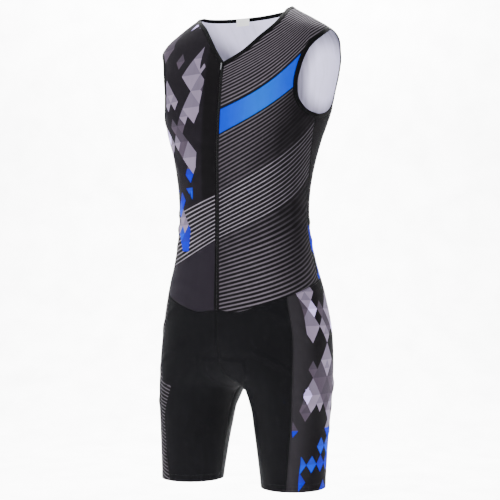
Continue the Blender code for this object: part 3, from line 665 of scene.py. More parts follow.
def new_piece(name, points, faces, materials, face_materials=None, vectors=None,
              body=BODY_NAME):
    """Object at the origin from points and faces, with its vector attributes, riding."""
    mesh = bpy.data.meshes.new(name)
    mesh.from_pydata(np.asarray(points).tolist(), [], [list(face) for face in faces])
    for material in materials:
        mesh.materials.append(material)
    if face_materials is not None:
        mesh.polygons.foreach_set("material_index", np.asarray(face_materials, np.int32))
    for key, values in (vectors or {}).items():
        data = mesh.attributes.new(key, "FLOAT_VECTOR", "POINT").data
        data.foreach_set("vector", np.asarray(values, np.float32).ravel())
    mesh.shade_smooth()
    mesh.set_sharp_from_angle(angle=math.radians(SHARP_DEGREES))
    mesh.update()
    piece = bpy.data.objects.new(name, mesh)
    bpy.context.scene.collection.objects.link(piece)
    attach(piece, body)
    return piece


def grid_faces(rows, cols, wrap_rows=False, wrap_cols=False):
    """Quads of a grid of points, closed round either way if asked."""
    index = np.arange(rows * cols).reshape(rows, cols)
    if wrap_rows:
        index = np.concatenate([index, index[:1]])
    if wrap_cols:
        index = np.concatenate([index, index[:, :1]], axis=1)
    quads = np.stack([index[:-1, :-1], index[1:, :-1], index[1:, 1:], index[:-1, 1:]], -1)
    return quads.reshape(-1, 4)


def shell(name, outer, inner, materials, vectors, mirrored=False):
    """Closed shell between two grids of points. Materials: outer face, inner face, edge."""
    rows, cols = outer.shape[:2]
    under = rows * cols
    quads = grid_faces(rows, cols)
    loop = rim(rows, cols)
    edge = np.stack([loop[:-1], loop[1:], loop[1:] + under, loop[:-1] + under], axis=-1)
    faces = np.concatenate([quads, quads[:, ::-1] + under, edge])
    kinds = np.repeat([0, 1, 2], [len(quads), len(quads), len(edge)])
    both = np.concatenate([outer.reshape(-1, 3), inner.reshape(-1, 3)])
    middle = np.cross(np.gradient(outer, axis=0), np.gradient(outer, axis=1))
    if np.sum(middle * (outer - inner)) < 0:
        faces = faces[:, ::-1]
    if mirrored:
        both = both * FLIP
        faces = faces[:, ::-1]
    doubled = {key: np.concatenate([value.reshape(-1, 3)] * 2)
               for key, value in vectors.items()}
    return new_piece(name, both, faces, materials, kinds, doubled)


def tube(name, rings, material, closed=False, vectors=None, body=BODY_NAME):
    """Surface carried from ring to ring, joined in a loop or closed by a cap at each end."""
    count, around = rings.shape[:2]
    faces = grid_faces(count, around, wrap_rows=closed, wrap_cols=True)
    lean = np.cross(rings[1, 0] - rings[0, 0], rings[0, 1] - rings[0, 0])
    forward = np.dot(lean, rings[0, 0] - rings[0].mean(axis=0)) < 0
    faces = (faces[:, ::-1] if forward else faces).tolist()
    if not closed:
        first = list(range(around))
        last = [index + (count - 1) * around for index in first]
        faces += [first[::-1], last] if forward else [first, last[::-1]]
    return new_piece(name, rings.reshape(-1, 3), faces, [material], vectors=vectors,
                     body=body)


def bead_shape():
    """Unit bead along x: two rings and two tips. Returns points and faces."""
    sides = BEAD_SIDES
    turn = np.arange(sides) / sides * TAU
    ring = np.stack([np.zeros(sides), np.cos(turn), np.sin(turn)], axis=-1) * 0.5
    points = np.concatenate([[[-0.5, 0, 0]], ring - [0.3, 0, 0], ring + [0.3, 0, 0],
                             [[0.5, 0, 0]]])
    faces = []
    for i in range(sides):
        j = (i + 1) % sides
        faces += [[0, 1 + j, 1 + i], [1 + i, 1 + j, 1 + sides + j, 1 + sides + i],
                  [1 + sides + i, 1 + sides + j, 1 + 2 * sides]]
    return points, faces


def beads(name, centres, lengthways, normals, size, material):
    """Many like beads in one mesh: the unit bead, scaled, on each centre's own axes."""
    shape, faces = bead_shape()
    third = np.cross(normals, lengthways)
    axes = np.stack([lengthways * size[0], third * size[1], normals * size[2]], axis=1)
    points = centres[:, None] + np.einsum("pk,nkd->npd", shape, axes)
    first = (np.arange(len(centres)) * len(shape))[:, None, None]
    all_faces = []
    for length in (3, 4):
        some = np.array([face for face in faces if len(face) == length])
        all_faces += (some[None] + first).reshape(-1, length).tolist()
    return new_piece(name, points.reshape(-1, 3), all_faces, [material])


# ------------------------------------------------------------------ materials
class Graph:
    """Shader nodes of one material, added by short calls. Values are numbers or sockets."""

    def __init__(self, name):
        self.material = bpy.data.materials.new(name)
        self.material.use_nodes = True
        self.tree = self.material.node_tree
        self.shader = self.tree.nodes["Principled BSDF"]
        self.finish_row = dict(zip(FINISH_COLUMNS, FINISHES.get(name, FINISHES["print"])))
        for key, value in self.finish_row.items():
            self.shader.inputs[key].default_value = value
        self.shader.inputs["Sheen Roughness"].default_value = 0.4

    def node(self, kind, values=(), **settings):
        """One node: its settings, and its inputs in order or by name."""
        made = self.tree.nodes.new("ShaderNode" + kind)
        for key, value in settings.items():
            setattr(made, key, value)
        pairs = values.items() if isinstance(values, dict) else enumerate(values)
        for key, value in pairs:
            self.give(made.inputs[key], value)
        return made

    def give(self, socket, value):
        """Link or set one input."""
        if isinstance(value, bpy.types.NodeSocket):
            self.tree.links.new(value, socket)
        elif hasattr(value, "__len__") and len(value) == 3 and socket.type == "RGBA":
            socket.default_value = (*value, 1.0)
        else:
            socket.default_value = value

    def math(self, operation, *values):
        """Result of a math node."""
        return self.node("Math", values, operation=operation).outputs[0]

    def times(self, first, second):
        """Product of two values."""
        return self.math("MULTIPLY", first, second)

    def less(self, first, second):
        """First value less the second."""
        return self.math("SUBTRACT", first, second)

    def wave(self, value, pitch):
        """Sine wave of a value, from -1 to 1."""
        return self.math("SINE", self.times(value, TAU / pitch))

    def mix(self, share, first, second, way="MIX"):
        """Blend of two colours."""
        made = self.node("Mix", {0: share, 6: first, 7: second}, data_type="RGBA",
                         blend_type=way)
        return made.outputs[2]

    def lit(self, colour, light):
        """A colour times a grey."""
        grey = self.node("CombineColor", [light, light, light]).outputs[0]
        return self.mix(1.0, colour, grey, "MULTIPLY")

    def step(self, value, edge, soft):
        """0 below the edge, 1 above it, and a smooth change of half width soft."""
        made = self.node("MapRange", {0: value, 1: edge - soft, 2: edge + soft},
                         interpolation_type="SMOOTHSTEP")
        return made.outputs[0]

    def below(self, value, edge, soft):
        """1 below the edge and 0 above it."""
        return self.less(1.0, self.step(value, edge, soft))

    def between(self, value, low, high, soft):
        """1 between two edges."""
        return self.less(self.step(value, low, soft), self.step(value, high, soft))

    def attribute(self, name):
        """A vector attribute."""
        return self.node("Attribute", attribute_name=name).outputs["Vector"]

    def place_on_object(self):
        """Place of the shaded point, in metres."""
        return self.node("TexCoord").outputs["Object"]

    def parts(self, vector):
        """The three parts of a vector."""
        return tuple(self.node("SeparateXYZ", [vector]).outputs)

    def vector(self, *values):
        """A vector of three parts."""
        return self.node("CombineXYZ", values).outputs[0]

    def noise(self, vector, scale, detail=2.0):
        """Noise from 0 to 1."""
        return self.node("TexNoise", {"Vector": vector, "Scale": scale,
                                      "Detail": detail}).outputs[0]

    def bump(self, height, distance, strength):
        """Normal with a relief."""
        return self.node("Bump", {"Height": height, "Distance": distance,
                                  "Strength": strength}).outputs[0]

    def finish(self, colour, normal=None):
        """Put the colour and the normal on the shader."""
        self.give(self.shader.inputs["Base Color"], colour)
        if normal is not None:
            self.give(self.shader.inputs["Normal"], normal)
        return self.material


class Cloth(Graph):
    """Graph of a cloth, which knows its place: u across, v up, and third, which is 1 - w on
    the wearer's left and w - 1 on the right."""

    def __init__(self, name):
        super().__init__(name)
        self.place = self.attribute("flat")
        self.u, self.v, self.third = self.parts(self.place)

    def worn(self, colour, amount=0.10):
        """A colour with soft cloudy variation and a fine fleck."""
        clouds = self.noise(self.place, 22.0, 3.0)
        fleck = self.noise(self.place, 900.0, 1.0)
        both = self.math("MULTIPLY_ADD", fleck, 0.6, clouds)
        return self.lit(colour, self.math("MULTIPLY_ADD", both, 2 * amount, 1 - 1.6 * amount))

    def knit(self, pitch, amount=1.0):
        """Normal of jersey knit: columns of loops whose rows rise to each column's middle."""
        column = self.math("PINGPONG", self.math("DIVIDE", self.u, pitch), 0.5)
        row = self.math("ADD", self.math("DIVIDE", self.v, pitch * 0.75),
                        self.times(column, 1.3))
        height = self.math("MULTIPLY_ADD", self.wave(row, 1.0), 0.35, column)
        return self.bump(height, 0.00022, 0.55 * amount)

    def printed(self, colour):
        """Finished material of the printed knit."""
        return self.finish(self.worn(colour), self.knit(sizes().knit_pitch))

    def lines(self, number, strength, half, soft):
        """Strength on the printed lines, which lie at whole numbers, and 0 off them."""
        off = self.math("PINGPONG", number, 0.5)
        return self.times(self.below(off, half, soft), strength)

    def diamonds(self, width, height, seed):
        """Staggered diamonds: a random number for each, and which half of it a place is in."""
        right = self.math("DIVIDE", self.u, width)
        up = self.math("DIVIDE", self.v, height)
        a, b = self.math("ADD", right, up), self.less(right, up)
        cell = self.vector(self.math("FLOOR", a), self.math("FLOOR", b), seed)
        pick = self.node("TexWhiteNoise", {"Vector": cell},
                         noise_dimensions="3D").outputs["Value"]
        half = self.step(self.less(self.math("FRACT", a), self.math("FRACT", b)), 0.0, 0.02)
        return pick, half

    def palette(self, pick, stops):
        """Colour of a random number, from flat steps."""
        ramp = self.node("ValToRGB", [pick])
        ramp.color_ramp.interpolation = "CONSTANT"
        elements = ramp.color_ramp.elements
        while len(elements) < len(stops):
            elements.new(1.0)
        for element, (position, colour) in zip(elements, stops):
            element.position = position
            element.color = (*colour, 1.0)
        return ramp.outputs[0]

    def facet_print(self, ground, where, seed, blue_below):
        """Two layers of diamonds on a ground colour, blue below a height."""
        c = colours()
        low = self.below(self.v, blue_below, 0.001)
        for width, height, shift, bare in FACETS:
            pick, half = self.diamonds(width, height, seed + shift)
            greys = self.palette(pick, ((0.0, c.mauve), (0.40, c.grey), (0.66, c.pale),
                                        (0.80, c.grey)))
            blues = self.palette(pick, ((0.0, c.leg_blue), (0.45, c.sash_deep),
                                        (0.70, c.grey), (0.85, c.leg_blue)))
            tone = self.mix(self.times(half, 0.38), self.mix(low, greys, blues), FACET_SHADE)
            shown = self.math("GREATER_THAN", self.math("FRACT", self.times(pick, 7.3)), bare)
            ground = self.mix(self.times(shown, where), ground, tone)
        return ground


def print_left(name):
    """Wearer's left front: pinstripes that flow from the zip, a bright band, a blue sash."""
    g, c = Cloth(name), colours()
    number, strength, run = g.parts(g.attribute("stripe"))
    dim = g.mix(g.lines(number, strength, 0.20, 0.10), c.black, c.stripe)
    bright = g.mix(g.lines(number, strength, 0.14, 0.08), c.black, c.bright)
    colour = g.mix(g.between(number, BAND_TOP, BAND_BOTTOM, 0.05), dim, bright)
    sash = g.mix(g.between(run, 0.045, 0.118, 0.045), c.sash_deep, c.sash)
    colour = g.mix(g.between(number, SASH_TOP - 0.35, SASH_BOTTOM + 0.35, 0.10), colour,
                   SASH_EDGE)
    colour = g.mix(g.between(number, SASH_TOP, SASH_BOTTOM, 0.06), colour, sash)
    return g.printed(g.mix(g.step(run, ZIP_EDGE, 0.0003), c.black, colour))


def print_right(name):
    """Wearer's right front: diamonds over a dark ground, then the bright band, then plain."""
    g, c = Cloth(name), colours()
    number, strength, run = g.parts(g.attribute("stripe"))
    ground = g.mix(g.times(g.step(run, 0.034, 0.004), 0.45), c.black, c.charcoal)
    ragged = g.less(run, g.times(g.noise(g.place, 12.0, 0.0), 0.03))
    top = g.times(g.step(ragged, 0.028, 0.0005), g.step(g.v, FACETS_END, 0.0005))
    colour = g.facet_print(ground, top, 3.0, -0.300)
    striped = g.mix(g.lines(number, strength, 0.15, 0.08), c.black, c.bright)
    colour = g.mix(g.between(number, BAND_TOP, BAND_BOTTOM, 0.04), colour, striped)
    colour = g.mix(g.step(number, BAND_BOTTOM, 0.04), colour, c.charcoal)
    side = g.times(g.step(ragged, 0.050, 0.0005), g.between(g.v, -0.452, FACETS_END, 0.0005))
    colour = g.facet_print(colour, side, 12.0, -0.300)
    return g.printed(g.mix(g.step(run, ZIP_EDGE, 0.0003), c.black, colour))


def print_back(name):
    """Back of the top: near-black, with small blue diamonds at the waist's left side."""
    g = Cloth(name)
    area = g.times(g.step(g.third, 0.62, 0.002), g.below(g.v, -0.392, 0.0005))
    return g.printed(g.facet_print(colours().black, area, 9.0, -0.30))


def print_leg_left(name):
    """Left side panel of the shorts: charcoal fading to black, diamonds towards the back."""
    g = Cloth(name)
    ground = g.mix(g.step(g.u, -0.055, 0.030), LEG_GROUND, colours().black)
    ragged = g.less(g.u, g.times(g.noise(g.place, 10.0, 0.0), 0.05))
    return g.printed(g.facet_print(ground, g.step(ragged, -0.088, 0.0005), 21.0, -0.775))


def print_leg_right(name, front=False):
    """Right side panel of the shorts: fine diagonal stripes on black.

    On the front panel they run on a little way past the seam, furthest beside the crotch.
    """
    g, c = Cloth(name), colours()
    number = g.math("DIVIDE", g.math("ADD", g.v, g.times(g.u, LEG_SLOPE)), LEG_PITCH)
    lines = g.lines(number, 0.42, 0.17, 0.07)
    if front:
        wide = g.times(g.between(g.v, -0.740, -0.650, 0.040), 0.065)
        wide = g.less(wide, g.times(g.step(g.v, -0.640, 0.050), 0.045))
        lines = g.times(lines, g.step(g.math("ADD", g.third, wide), -1.405, 0.002))
    return g.printed(g.mix(lines, c.lycra if front else c.black, c.stripe))


def plain_cloth(name, colour, pitch, amount=1.0):
    """One-coloured knit."""
    g = Cloth(name)
    return g.finish(g.worn(colour, 0.08), g.knit(pitch, amount))


def inner_cloth(name):
    """Pale inner face of the printed knit: upright ribs, and painted shade that makes it greyer
    away from the openings and streaks it with soft ripples.
    """
    g = Cloth(name)
    rib = g.math("ADD", g.wave(g.u, 0.0021), g.noise(g.place, 160.0, 2.0))
    x, _, z = g.parts(g.place_on_object())
    # Painted light: full colour inside the ellipses, painted shade darker away from them.
    lit = 0.0
    for centre, half, (start, end) in PAINTED_LIGHT_INSIDE:
        far = [g.math("POWER", g.math("DIVIDE", g.less(part, at), reach), 2.0)
               for part, at, reach in zip((x, z), centre, half)]
        far = g.math("SQRT", g.math("ADD", *far))
        lit = g.math("MAXIMUM", lit, g.below(far, (start + end) / 2, (end - start) / 2))
    # Painted shade of soft upright ripples: darker streaks taken off the colour's brightness.
    painted_ripple_shade = g.noise(g.vector(g.times(g.u, 90.0), g.times(g.v, 9.0), 0.0), 1.0, 2.0)
    shade = g.less(g.math("MULTIPLY_ADD", lit, 0.76, 0.40), g.times(painted_ripple_shade, 0.34))
    shade = g.math("MINIMUM", shade, 1.0)
    return g.finish(g.lit(g.worn(colours().inside, 0.05), shade), g.bump(rib, 0.00012, 0.5))


def band_cloth(name):
    """Turned elastic knit of the bindings: fine ribs across."""
    g = Cloth(name)
    height = g.math("MULTIPLY_ADD", g.wave(g.v, 0.0008), 0.5, g.wave(g.u, 0.0010))
    return g.finish(g.worn(colours().band), g.bump(height, 0.00015, 0.6))


def label_cloth(name):
    """Bare white woven tape."""
    g = Cloth(name)
    weave = g.times(g.wave(g.u, 0.0007), g.wave(g.v, 0.0005))
    return g.finish(g.worn(LABEL_WHITE, 0.04), g.bump(weave, 0.0001, 0.5))


def thread(name, first, second, strength=0.0):
    """Twisted sewing thread of two tones."""
    g = Graph(name)
    grain = g.noise(g.place_on_object(), 2500.0, 1.0)
    normal = g.bump(grain, 0.0001, strength) if strength else None
    return g.finish(g.mix(grain, first, second), normal)


def trim(name, colour, grain_scale=600.0):
    """Moulded or cast trim: faint grain, and roughness that varies with wear."""
    g = Graph(name)
    place = g.place_on_object()
    grain = g.noise(place, grain_scale, 3.0)
    g.give(g.shader.inputs["Roughness"],
           g.math("MULTIPLY_ADD", grain, 0.25, g.finish_row["Roughness"] - 0.12))
    light = g.math("MULTIPLY_ADD", g.noise(place, grain_scale / 6, 2.0), 0.3, 0.85)
    return g.finish(g.lit(colour, light), g.bump(grain, 0.00008, 0.4))


def kept(make, name, *values):
    """A material made once and then reused by name."""
    return bpy.data.materials.get(name) or make(name, *values)


def lycra():
    """Plain black knit of the shorts."""
    return kept(plain_cloth, "plain_lycra", colours().lycra, 0.0009, 0.8)


def band():
    """Cloth of the bindings, and of the cut edges inside a seam."""
    return kept(band_cloth, "band_cloth")


# ------------------------------------------------------------------ cloth panels
def line_number(run, z, side):
    """Number of the pinstripe at an arc from the centre front and a height.

    Solves start = z - rise(start) * run - curl(start) * run^3 by repeated substitution. Near
    the shoulder the cube of run carries on as a straight line.
    """
    flow = {name: named(FLOW, FLOW_COLUMNS, name) for name in FLOW_COLUMNS}
    marks_down = flow["start"]
    start = z.copy()
    short = np.minimum(run, SHOULDER_RUN)
    cube = np.where(z > SHOULDER_Z, short ** 3 + SHOULDER_SLOPE * (run - short), run ** 3)
    for _ in range(25):
        if side > 0:
            rise = np.interp(start, marks_down, flow["rise"])
            aim = z - rise * run - np.interp(start, marks_down, flow["curl"]) * cube
        else:
            rise = np.interp(start, marks_down, flow["right"])
            aim = z + rise * run - RIGHT_CURL * run ** 3
        start = (start + aim) / 2
    lowest, highest = marks_down[0], marks_down[-1]
    inside = smooth(np.clip(start, lowest, highest), marks_down, flow["number"])
    return (inside + (lowest - np.minimum(start, lowest)) / LOW_PITCH
            - (np.maximum(start, highest) - highest) / HIGH_PITCH)


def panel_side(places, side, open_bottom, both):
    """Points, normals, relief, and the vectors flat and stripe of a panel on one side."""
    w, z = places[..., 0], places[..., 1]
    points = figure(w, z)
    near = border_distance(points, open_bottom, both)
    out = relief(w, z, side, points) * ease(np.clip(near / 0.010, 0, 1))
    out = out - sizes().seam_groove * np.exp(-(near / 0.0014) ** 2)
    run = arc(w, z, -1.0)
    flat = np.stack([arc(w, z, 1.0 if both else 0.0) * side, z, (1 - w) * side], axis=-1)
    number = line_number(run, z, side)
    strength = look_up(FADE_NUMBER, FADE_ARC, FADE, number, run)
    return points, outward(w, z), out, flat, np.stack([number, strength, run], axis=-1)


def both_halves(first, second):
    """Grid that runs on past its last column, the centre back, into a second half."""
    return np.concatenate([first, second[:, -2::-1]], axis=1)


def onto_centre(vectors):
    """Turn the last vectors of a line or a grid into the plane of the centre."""
    vectors[..., -1, :] = unit(vectors[..., -1, :] * IN_CENTRE)


def cloth_panel(name, node, places, side, materials, open_bottom=False, both=False):
    """Cloth of one panel: the figure's points moved out by the relief, dipping at its seams.

    both adds the mirror image of a half whose last column lies on the centre back.
    """
    points, normals, out, flat, stripe = panel_side(places, side, open_bottom, both)
    if both:
        onto_centre(normals)
        other = panel_side(places, -side, open_bottom, both)
        middle = ((out[:, -1] + other[2][:, -1]) / 2)[:, None]
        blend = np.exp(-(arc(places[..., 0], places[..., 1], 1.0) / 0.02) ** 2)
        out = both_halves(*(part + (middle - part) * blend for part in (out, other[2])))
        points = both_halves(points, other[0] * FLIP)
        normals = both_halves(normals, other[1] * FLIP)
        flat, stripe = both_halves(flat, other[3]), both_halves(stripe, other[4])
    points = pull_in(points, 0.00002)
    outer = points + normals * out[..., None]
    inner = outer - normals * sizes().cloth
    piece = shell(name, outer, inner, materials,
                  {"flat": flat, "stripe": stripe}, mirrored=(side < 0 and not both))
    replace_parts(piece, node)


class SKINSUIT_OT_top(bpy.types.Operator):
    """Sew the two fronts and the back of the top"""
    bl_idname = "skinsuit.top"
    bl_label = "Top"

    def execute(self, context):
        """Make the pieces."""
        inside = kept(inner_cloth, "inner_cloth")
        cloth_panel("cloth_front_left", "front_left", front_places(NECK_FRONT_LEFT), 1,
                    [kept(print_left, "print_left"), inside, band()])
        cloth_panel("cloth_front_right", "front_right", front_places(NECK_FRONT_RIGHT), -1,
                    [kept(print_right, "print_right"), inside, band()])
        cloth_panel("cloth_back", "back", back_places(), 1,
                    [kept(print_back, "print_back"), inside, band()], both=True)
        return {"FINISHED"}


class SKINSUIT_OT_shorts(bpy.types.Operator):
    """Sew the front, side and back panels of the shorts"""
    bl_idname = "skinsuit.shorts"
    bl_label = "Shorts"

    def execute(self, context):
        """Make the pieces."""
        printed = {("side", 1): kept(print_leg_left, "print_leg_left"),
                   ("side", -1): kept(print_leg_right, "print_leg_right"),
                   ("front", -1): kept(print_leg_right, "print_front_right", True)}
        inside = kept(plain_cloth, "lycra_inside", LYCRA_INSIDE, 0.0009)
        for side, word in ((1, "left"), (-1, "right")):
            for name in ("front", "side", "back"):
                outer = printed.get((name, side)) or lycra()
                cloth_panel(f"cloth_shorts_{name}_{word}", f"shorts_{name}_{word}",
                            shorts_places(name), side, [outer, inside, band()],
                            open_bottom=True)
        return {"FINISHED"}


# ------------------------------------------------------------------ bindings
def across_edge(places, closed):
    """Points, normals and the directions square to an edge, to its left."""
    points = figure(places[:, 0], places[:, 1])
    normals = outward(places[:, 0], places[:, 1])
    if closed:
        run = np.roll(points, -1, axis=0) - np.roll(points, 1, axis=0)
    else:
        run = np.gradient(points, axis=0)
    return points, normals, unit(np.cross(normals, unit(run)))


def armhole_loop():
    """Places round the left armhole."""
    share = np.arange(ARMHOLE_STEPS) / ARMHOLE_STEPS
    return np.concatenate([armhole_front(share), armhole_back(1 - share)])


def neck_half(neck):
    """Places from the zip over one shoulder to the centre back."""
    share = np.linspace(0, 1, NECK_STEPS + 1)
    back = np.stack([share[1:], np.full(NECK_STEPS, NECK_CORNER[1])], axis=-1)
    return np.concatenate([beside_slit(along(neck, share)), back])


def neck_edge():
    """Points, normals and inward directions round the neck, from zip to zip."""
    halves = []
    for neck, side in ((NECK_FRONT_LEFT, 1), (NECK_FRONT_RIGHT, -1)):
        points, normals, into = across_edge(neck_half(neck), False)
        onto_centre(into)
        onto_centre(normals)
        points[-1, 0] = 0.0
        halves.append([part * [side, 1, 1] for part in (points, normals, into)])
    return [np.concatenate([left, right[-2::-1]]) for left, right in zip(*halves)]


def superoval(turn, across_power, out_power):
    """Rounded oblong of half sizes 1: cos and sin, each raised to 2 / its power."""
    return [np.sign(part) * np.abs(part) ** (2 / power)
            for part, power in ((np.cos(turn), across_power), (np.sin(turn), out_power))]


def turned_band(name, node, edge, closed, mirrored=False):
    """Folded band beside an edge.

    Its section is the rounded oblong |across|^3.4 + |through|^2.6 = 1, a little thicker at
    the fold, with a line where it is sewn, and it puckers in small uneven waves.
    """
    points, normals, into = edge
    width, thick = sizes().binding_width, sizes().binding_thick
    run = run_of(np.concatenate([points, points[:1]]))
    length, run = run[-1], run[:-1]
    across, through = superoval(angles(28), 3.4, 2.6)
    through = through * (0.94 + 0.06 * across)
    waves = (0.5 * np.sin(run * TAU * round(length / 0.011) / length)
             + 0.5 * np.sin(run * TAU * round(length / 0.0173) / length + 1.1))
    swell = 1 + 0.05 * waves[:, None] * (across[None] < 0.4)
    line = 0.12 * np.exp(-((across + 0.62) / 0.10) ** 2)
    level = (through[None] * swell - np.sign(through) * line) * thick / 2 - HALF_WALL
    place = -HALF_WALL + width * (across + 1) / 2
    rings = (points[:, None] + into[:, None] * place[None, :, None]
             + normals[:, None] * level[..., None])
    flat = np.zeros_like(rings)
    flat[..., 0] = run[:, None]
    flat[..., 1] = np.where(through > 0, place, 2 * width - place)[None]
    if mirrored:
        rings = rings * FLIP
    piece = tube(name, rings, band(), closed, {"flat": flat.reshape(-1, 3)})
    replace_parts(piece, node)


class SKINSUIT_OT_bindings(bpy.types.Operator):
    """Turn the bands round the neck and the armholes"""
    bl_idname = "skinsuit.bindings"
    bl_label = "Bindings"

    def execute(self, context):
        """Make the pieces."""
        turned_band("band_neck", "neck_binding", neck_edge(), False)
        for word, mirrored in (("left", False), ("right", True)):
            turned_band(f"band_armhole_{word}", f"armhole_binding_{word}",
                        across_edge(armhole_loop(), True), True, mirrored)
        return {"FINISHED"}


# ------------------------------------------------------------------ stitching
def seam_rows(places, shift, lift, spacing, swing=0.0, closed=False, mirrored=False):
    """Centres, directions and normals of stitches beside a line, evenly spaced.

    swing turns every other stitch the other way, for a zigzag.
    """
    points, normals, into = across_edge(places, closed)
    points = points + into * shift + normals * lift
    if closed:
        points, normals, into = (np.concatenate([part, part[:1]])
                                 for part in (points, normals, into))
    run = run_of(points)
    at = np.arange(spacing / 2, run[-1], spacing)
    centres, up, side = (np.stack([np.interp(at, run, part[:, k]) for k in range(3)], axis=-1)
                         for part in (points, normals, into))
    up, side = unit(up), unit(side)
    way = np.where(np.arange(len(at)) % 2 == 0, 1, -1)[:, None] * swing
    ahead = unit(unit(np.cross(side, up)) * math.cos(abs(swing)) + side * np.sin(way))
    if mirrored:
        centres, up, ahead = (part * FLIP for part in (centres, up, ahead))
    return centres, ahead, up


def lines_of_stitches(name, rows):
    """One piece of many stitches."""
    centres, ahead, up = (np.concatenate(part) for part in zip(*rows))
    size = (sizes().stitch, sizes().thread, sizes().thread)
    material = kept(thread, "thread", colours().band, THREAD_DARK, 0.5)
    beads(name, centres, ahead, up, size, material)


def flat_seam(places, mirrored):
    """Flatlock seam: a zigzag over the join between a row of stitches on either side."""
    spacing = sizes().stitch * 1.18
    rows = [seam_rows(places, shift, 0.00005, spacing, mirrored=mirrored)
            for shift in (FLATLOCK_HALF, -FLATLOCK_HALF)]
    return rows + [seam_rows(places, 0.0, -0.00030, spacing * 0.62, swing=1.05,
                             mirrored=mirrored)]


class SKINSUIT_OT_stitching(bpy.types.Operator):
    """Run the seams' thread along every panel, binding, hem and zip edge"""
    bl_idname = "skinsuit.stitching"
    bl_label = "Stitching"

    def execute(self, context):
        """Make the pieces."""
        share = np.linspace(0, 1, 120)
        at = np.linspace(0.0, ROWS["rise"] + ROWS["leg"] - 0.08, 160)
        spacing = sizes().stitch * 1.2
        lift = (sizes().binding_thick - 2 * HALF_WALL) / 2 - 0.00008
        zip_z = np.linspace(ZIP_TOP[1] - 0.004, WAIST_SEAM[0][1] + 0.004, 120)
        zip_edge = np.stack([w_at(np.full(120, SLIT_HALF), zip_z, False), zip_z], axis=-1)
        hem_w = np.linspace(-0.999, 0.999, 200)
        bands, shorts, top = [], [], []
        for mirrored in (False, True):
            neck = NECK_FRONT_RIGHT if mirrored else NECK_FRONT_LEFT
            for edge, closed in ((neck_half(neck), False), (armhole_loop(), True)):
                bands.append(seam_rows(edge, BAND_STITCH, lift, spacing, closed=closed,
                                       mirrored=mirrored))
            for line in (side_seam(share), shoulder(share[4:-4])):
                top += flat_seam(line, mirrored)
            top.append(seam_rows(zip_edge, ZIP_STITCH, 0.00003, spacing, mirrored=mirrored))
            for line in (waist(np.linspace(-0.985, 1.0, 160)),
                         leg_seam(at, "front", FRONT_SEAM_W), leg_seam(at, "back", BACK_SEAM_W),
                         middle_edge(at[at > ROWS["rise"] + 0.7], -0.9995)):
                shorts += flat_seam(line, mirrored)
            for height in (0.0, 0.0030):
                hem = np.stack([hem_w, np.full(200, HEM_Z + sizes().hem + height)], axis=-1)
                shorts.append(seam_rows(hem, 0.0, -0.00015 + height * 0.08, spacing,
                                        mirrored=mirrored))
        for w in (-0.9995, 0.9995):
            shorts += flat_seam(middle_edge(at[at < ROWS["rise"] - 0.7], w), w > 0)
        lines_of_stitches("stitches_bands", bands)
        lines_of_stitches("stitches_top", top)
        lines_of_stitches("stitches_shorts", shorts)
        return {"FINISHED"}


# ------------------------------------------------------------------ zip
def zip_places(x_values, top_z, bottom_z, rows):
    """Points and normals of a strip down the centre front, and its flat vector."""
    z = np.linspace(top_z, bottom_z, rows)
    x, z = np.meshgrid(np.asarray(x_values, float), z)
    w = w_at(np.abs(x), z, False)
    points = figure(w, z)
    points[..., 0] = x
    return points, unit(outward(w, z) * IN_CENTRE), {"flat": np.stack([x, z, 0 * z], axis=-1)}


def bar(name, profile, place, axes, material, power=3.5, body=BODY_NAME):
    """Rounded bar: rings of a rounded oblong whose half sizes follow a profile.

    profile holds, for each ring, its place along the bar and its two half sizes.
    """
    across, out, ahead = axes
    cos, sin = superoval(angles(32), power, power)
    rings = (place + ahead * profile[:, None, :1]
             + across * (profile[:, 1, None] * cos)[..., None]
             + out * (profile[:, 2, None] * sin)[..., None])
    return tube(name, rings, material, body=body)


def rounded_profile(length, half_width, half_thick, taper=1.0):
    """Profile of a bar of a length, starting at 0, with both ends rounded off."""
    angle = np.linspace(0, math.pi / 2, 9)
    end = half_width * 0.9
    first = np.stack([end * (1 - np.cos(angle)), half_width * np.sin(angle),
                      half_thick * np.sin(angle) ** 0.5], axis=-1)[1:]
    both = np.concatenate([first, first[::-1] * FLIP + [length, 0, 0]])
    both[:, 1] *= 1 + (taper - 1) * both[:, 0] / length
    return both


def joined(name, pieces):
    """One object of several, with their meshes put together."""
    with bpy.context.temp_override(active_object=pieces[0], object=pieces[0],
                                   selected_objects=pieces,
                                   selected_editable_objects=pieces):
        bpy.ops.object.join()
    pieces[0].name = name
    pieces[0].data.name = name
    return pieces[0]


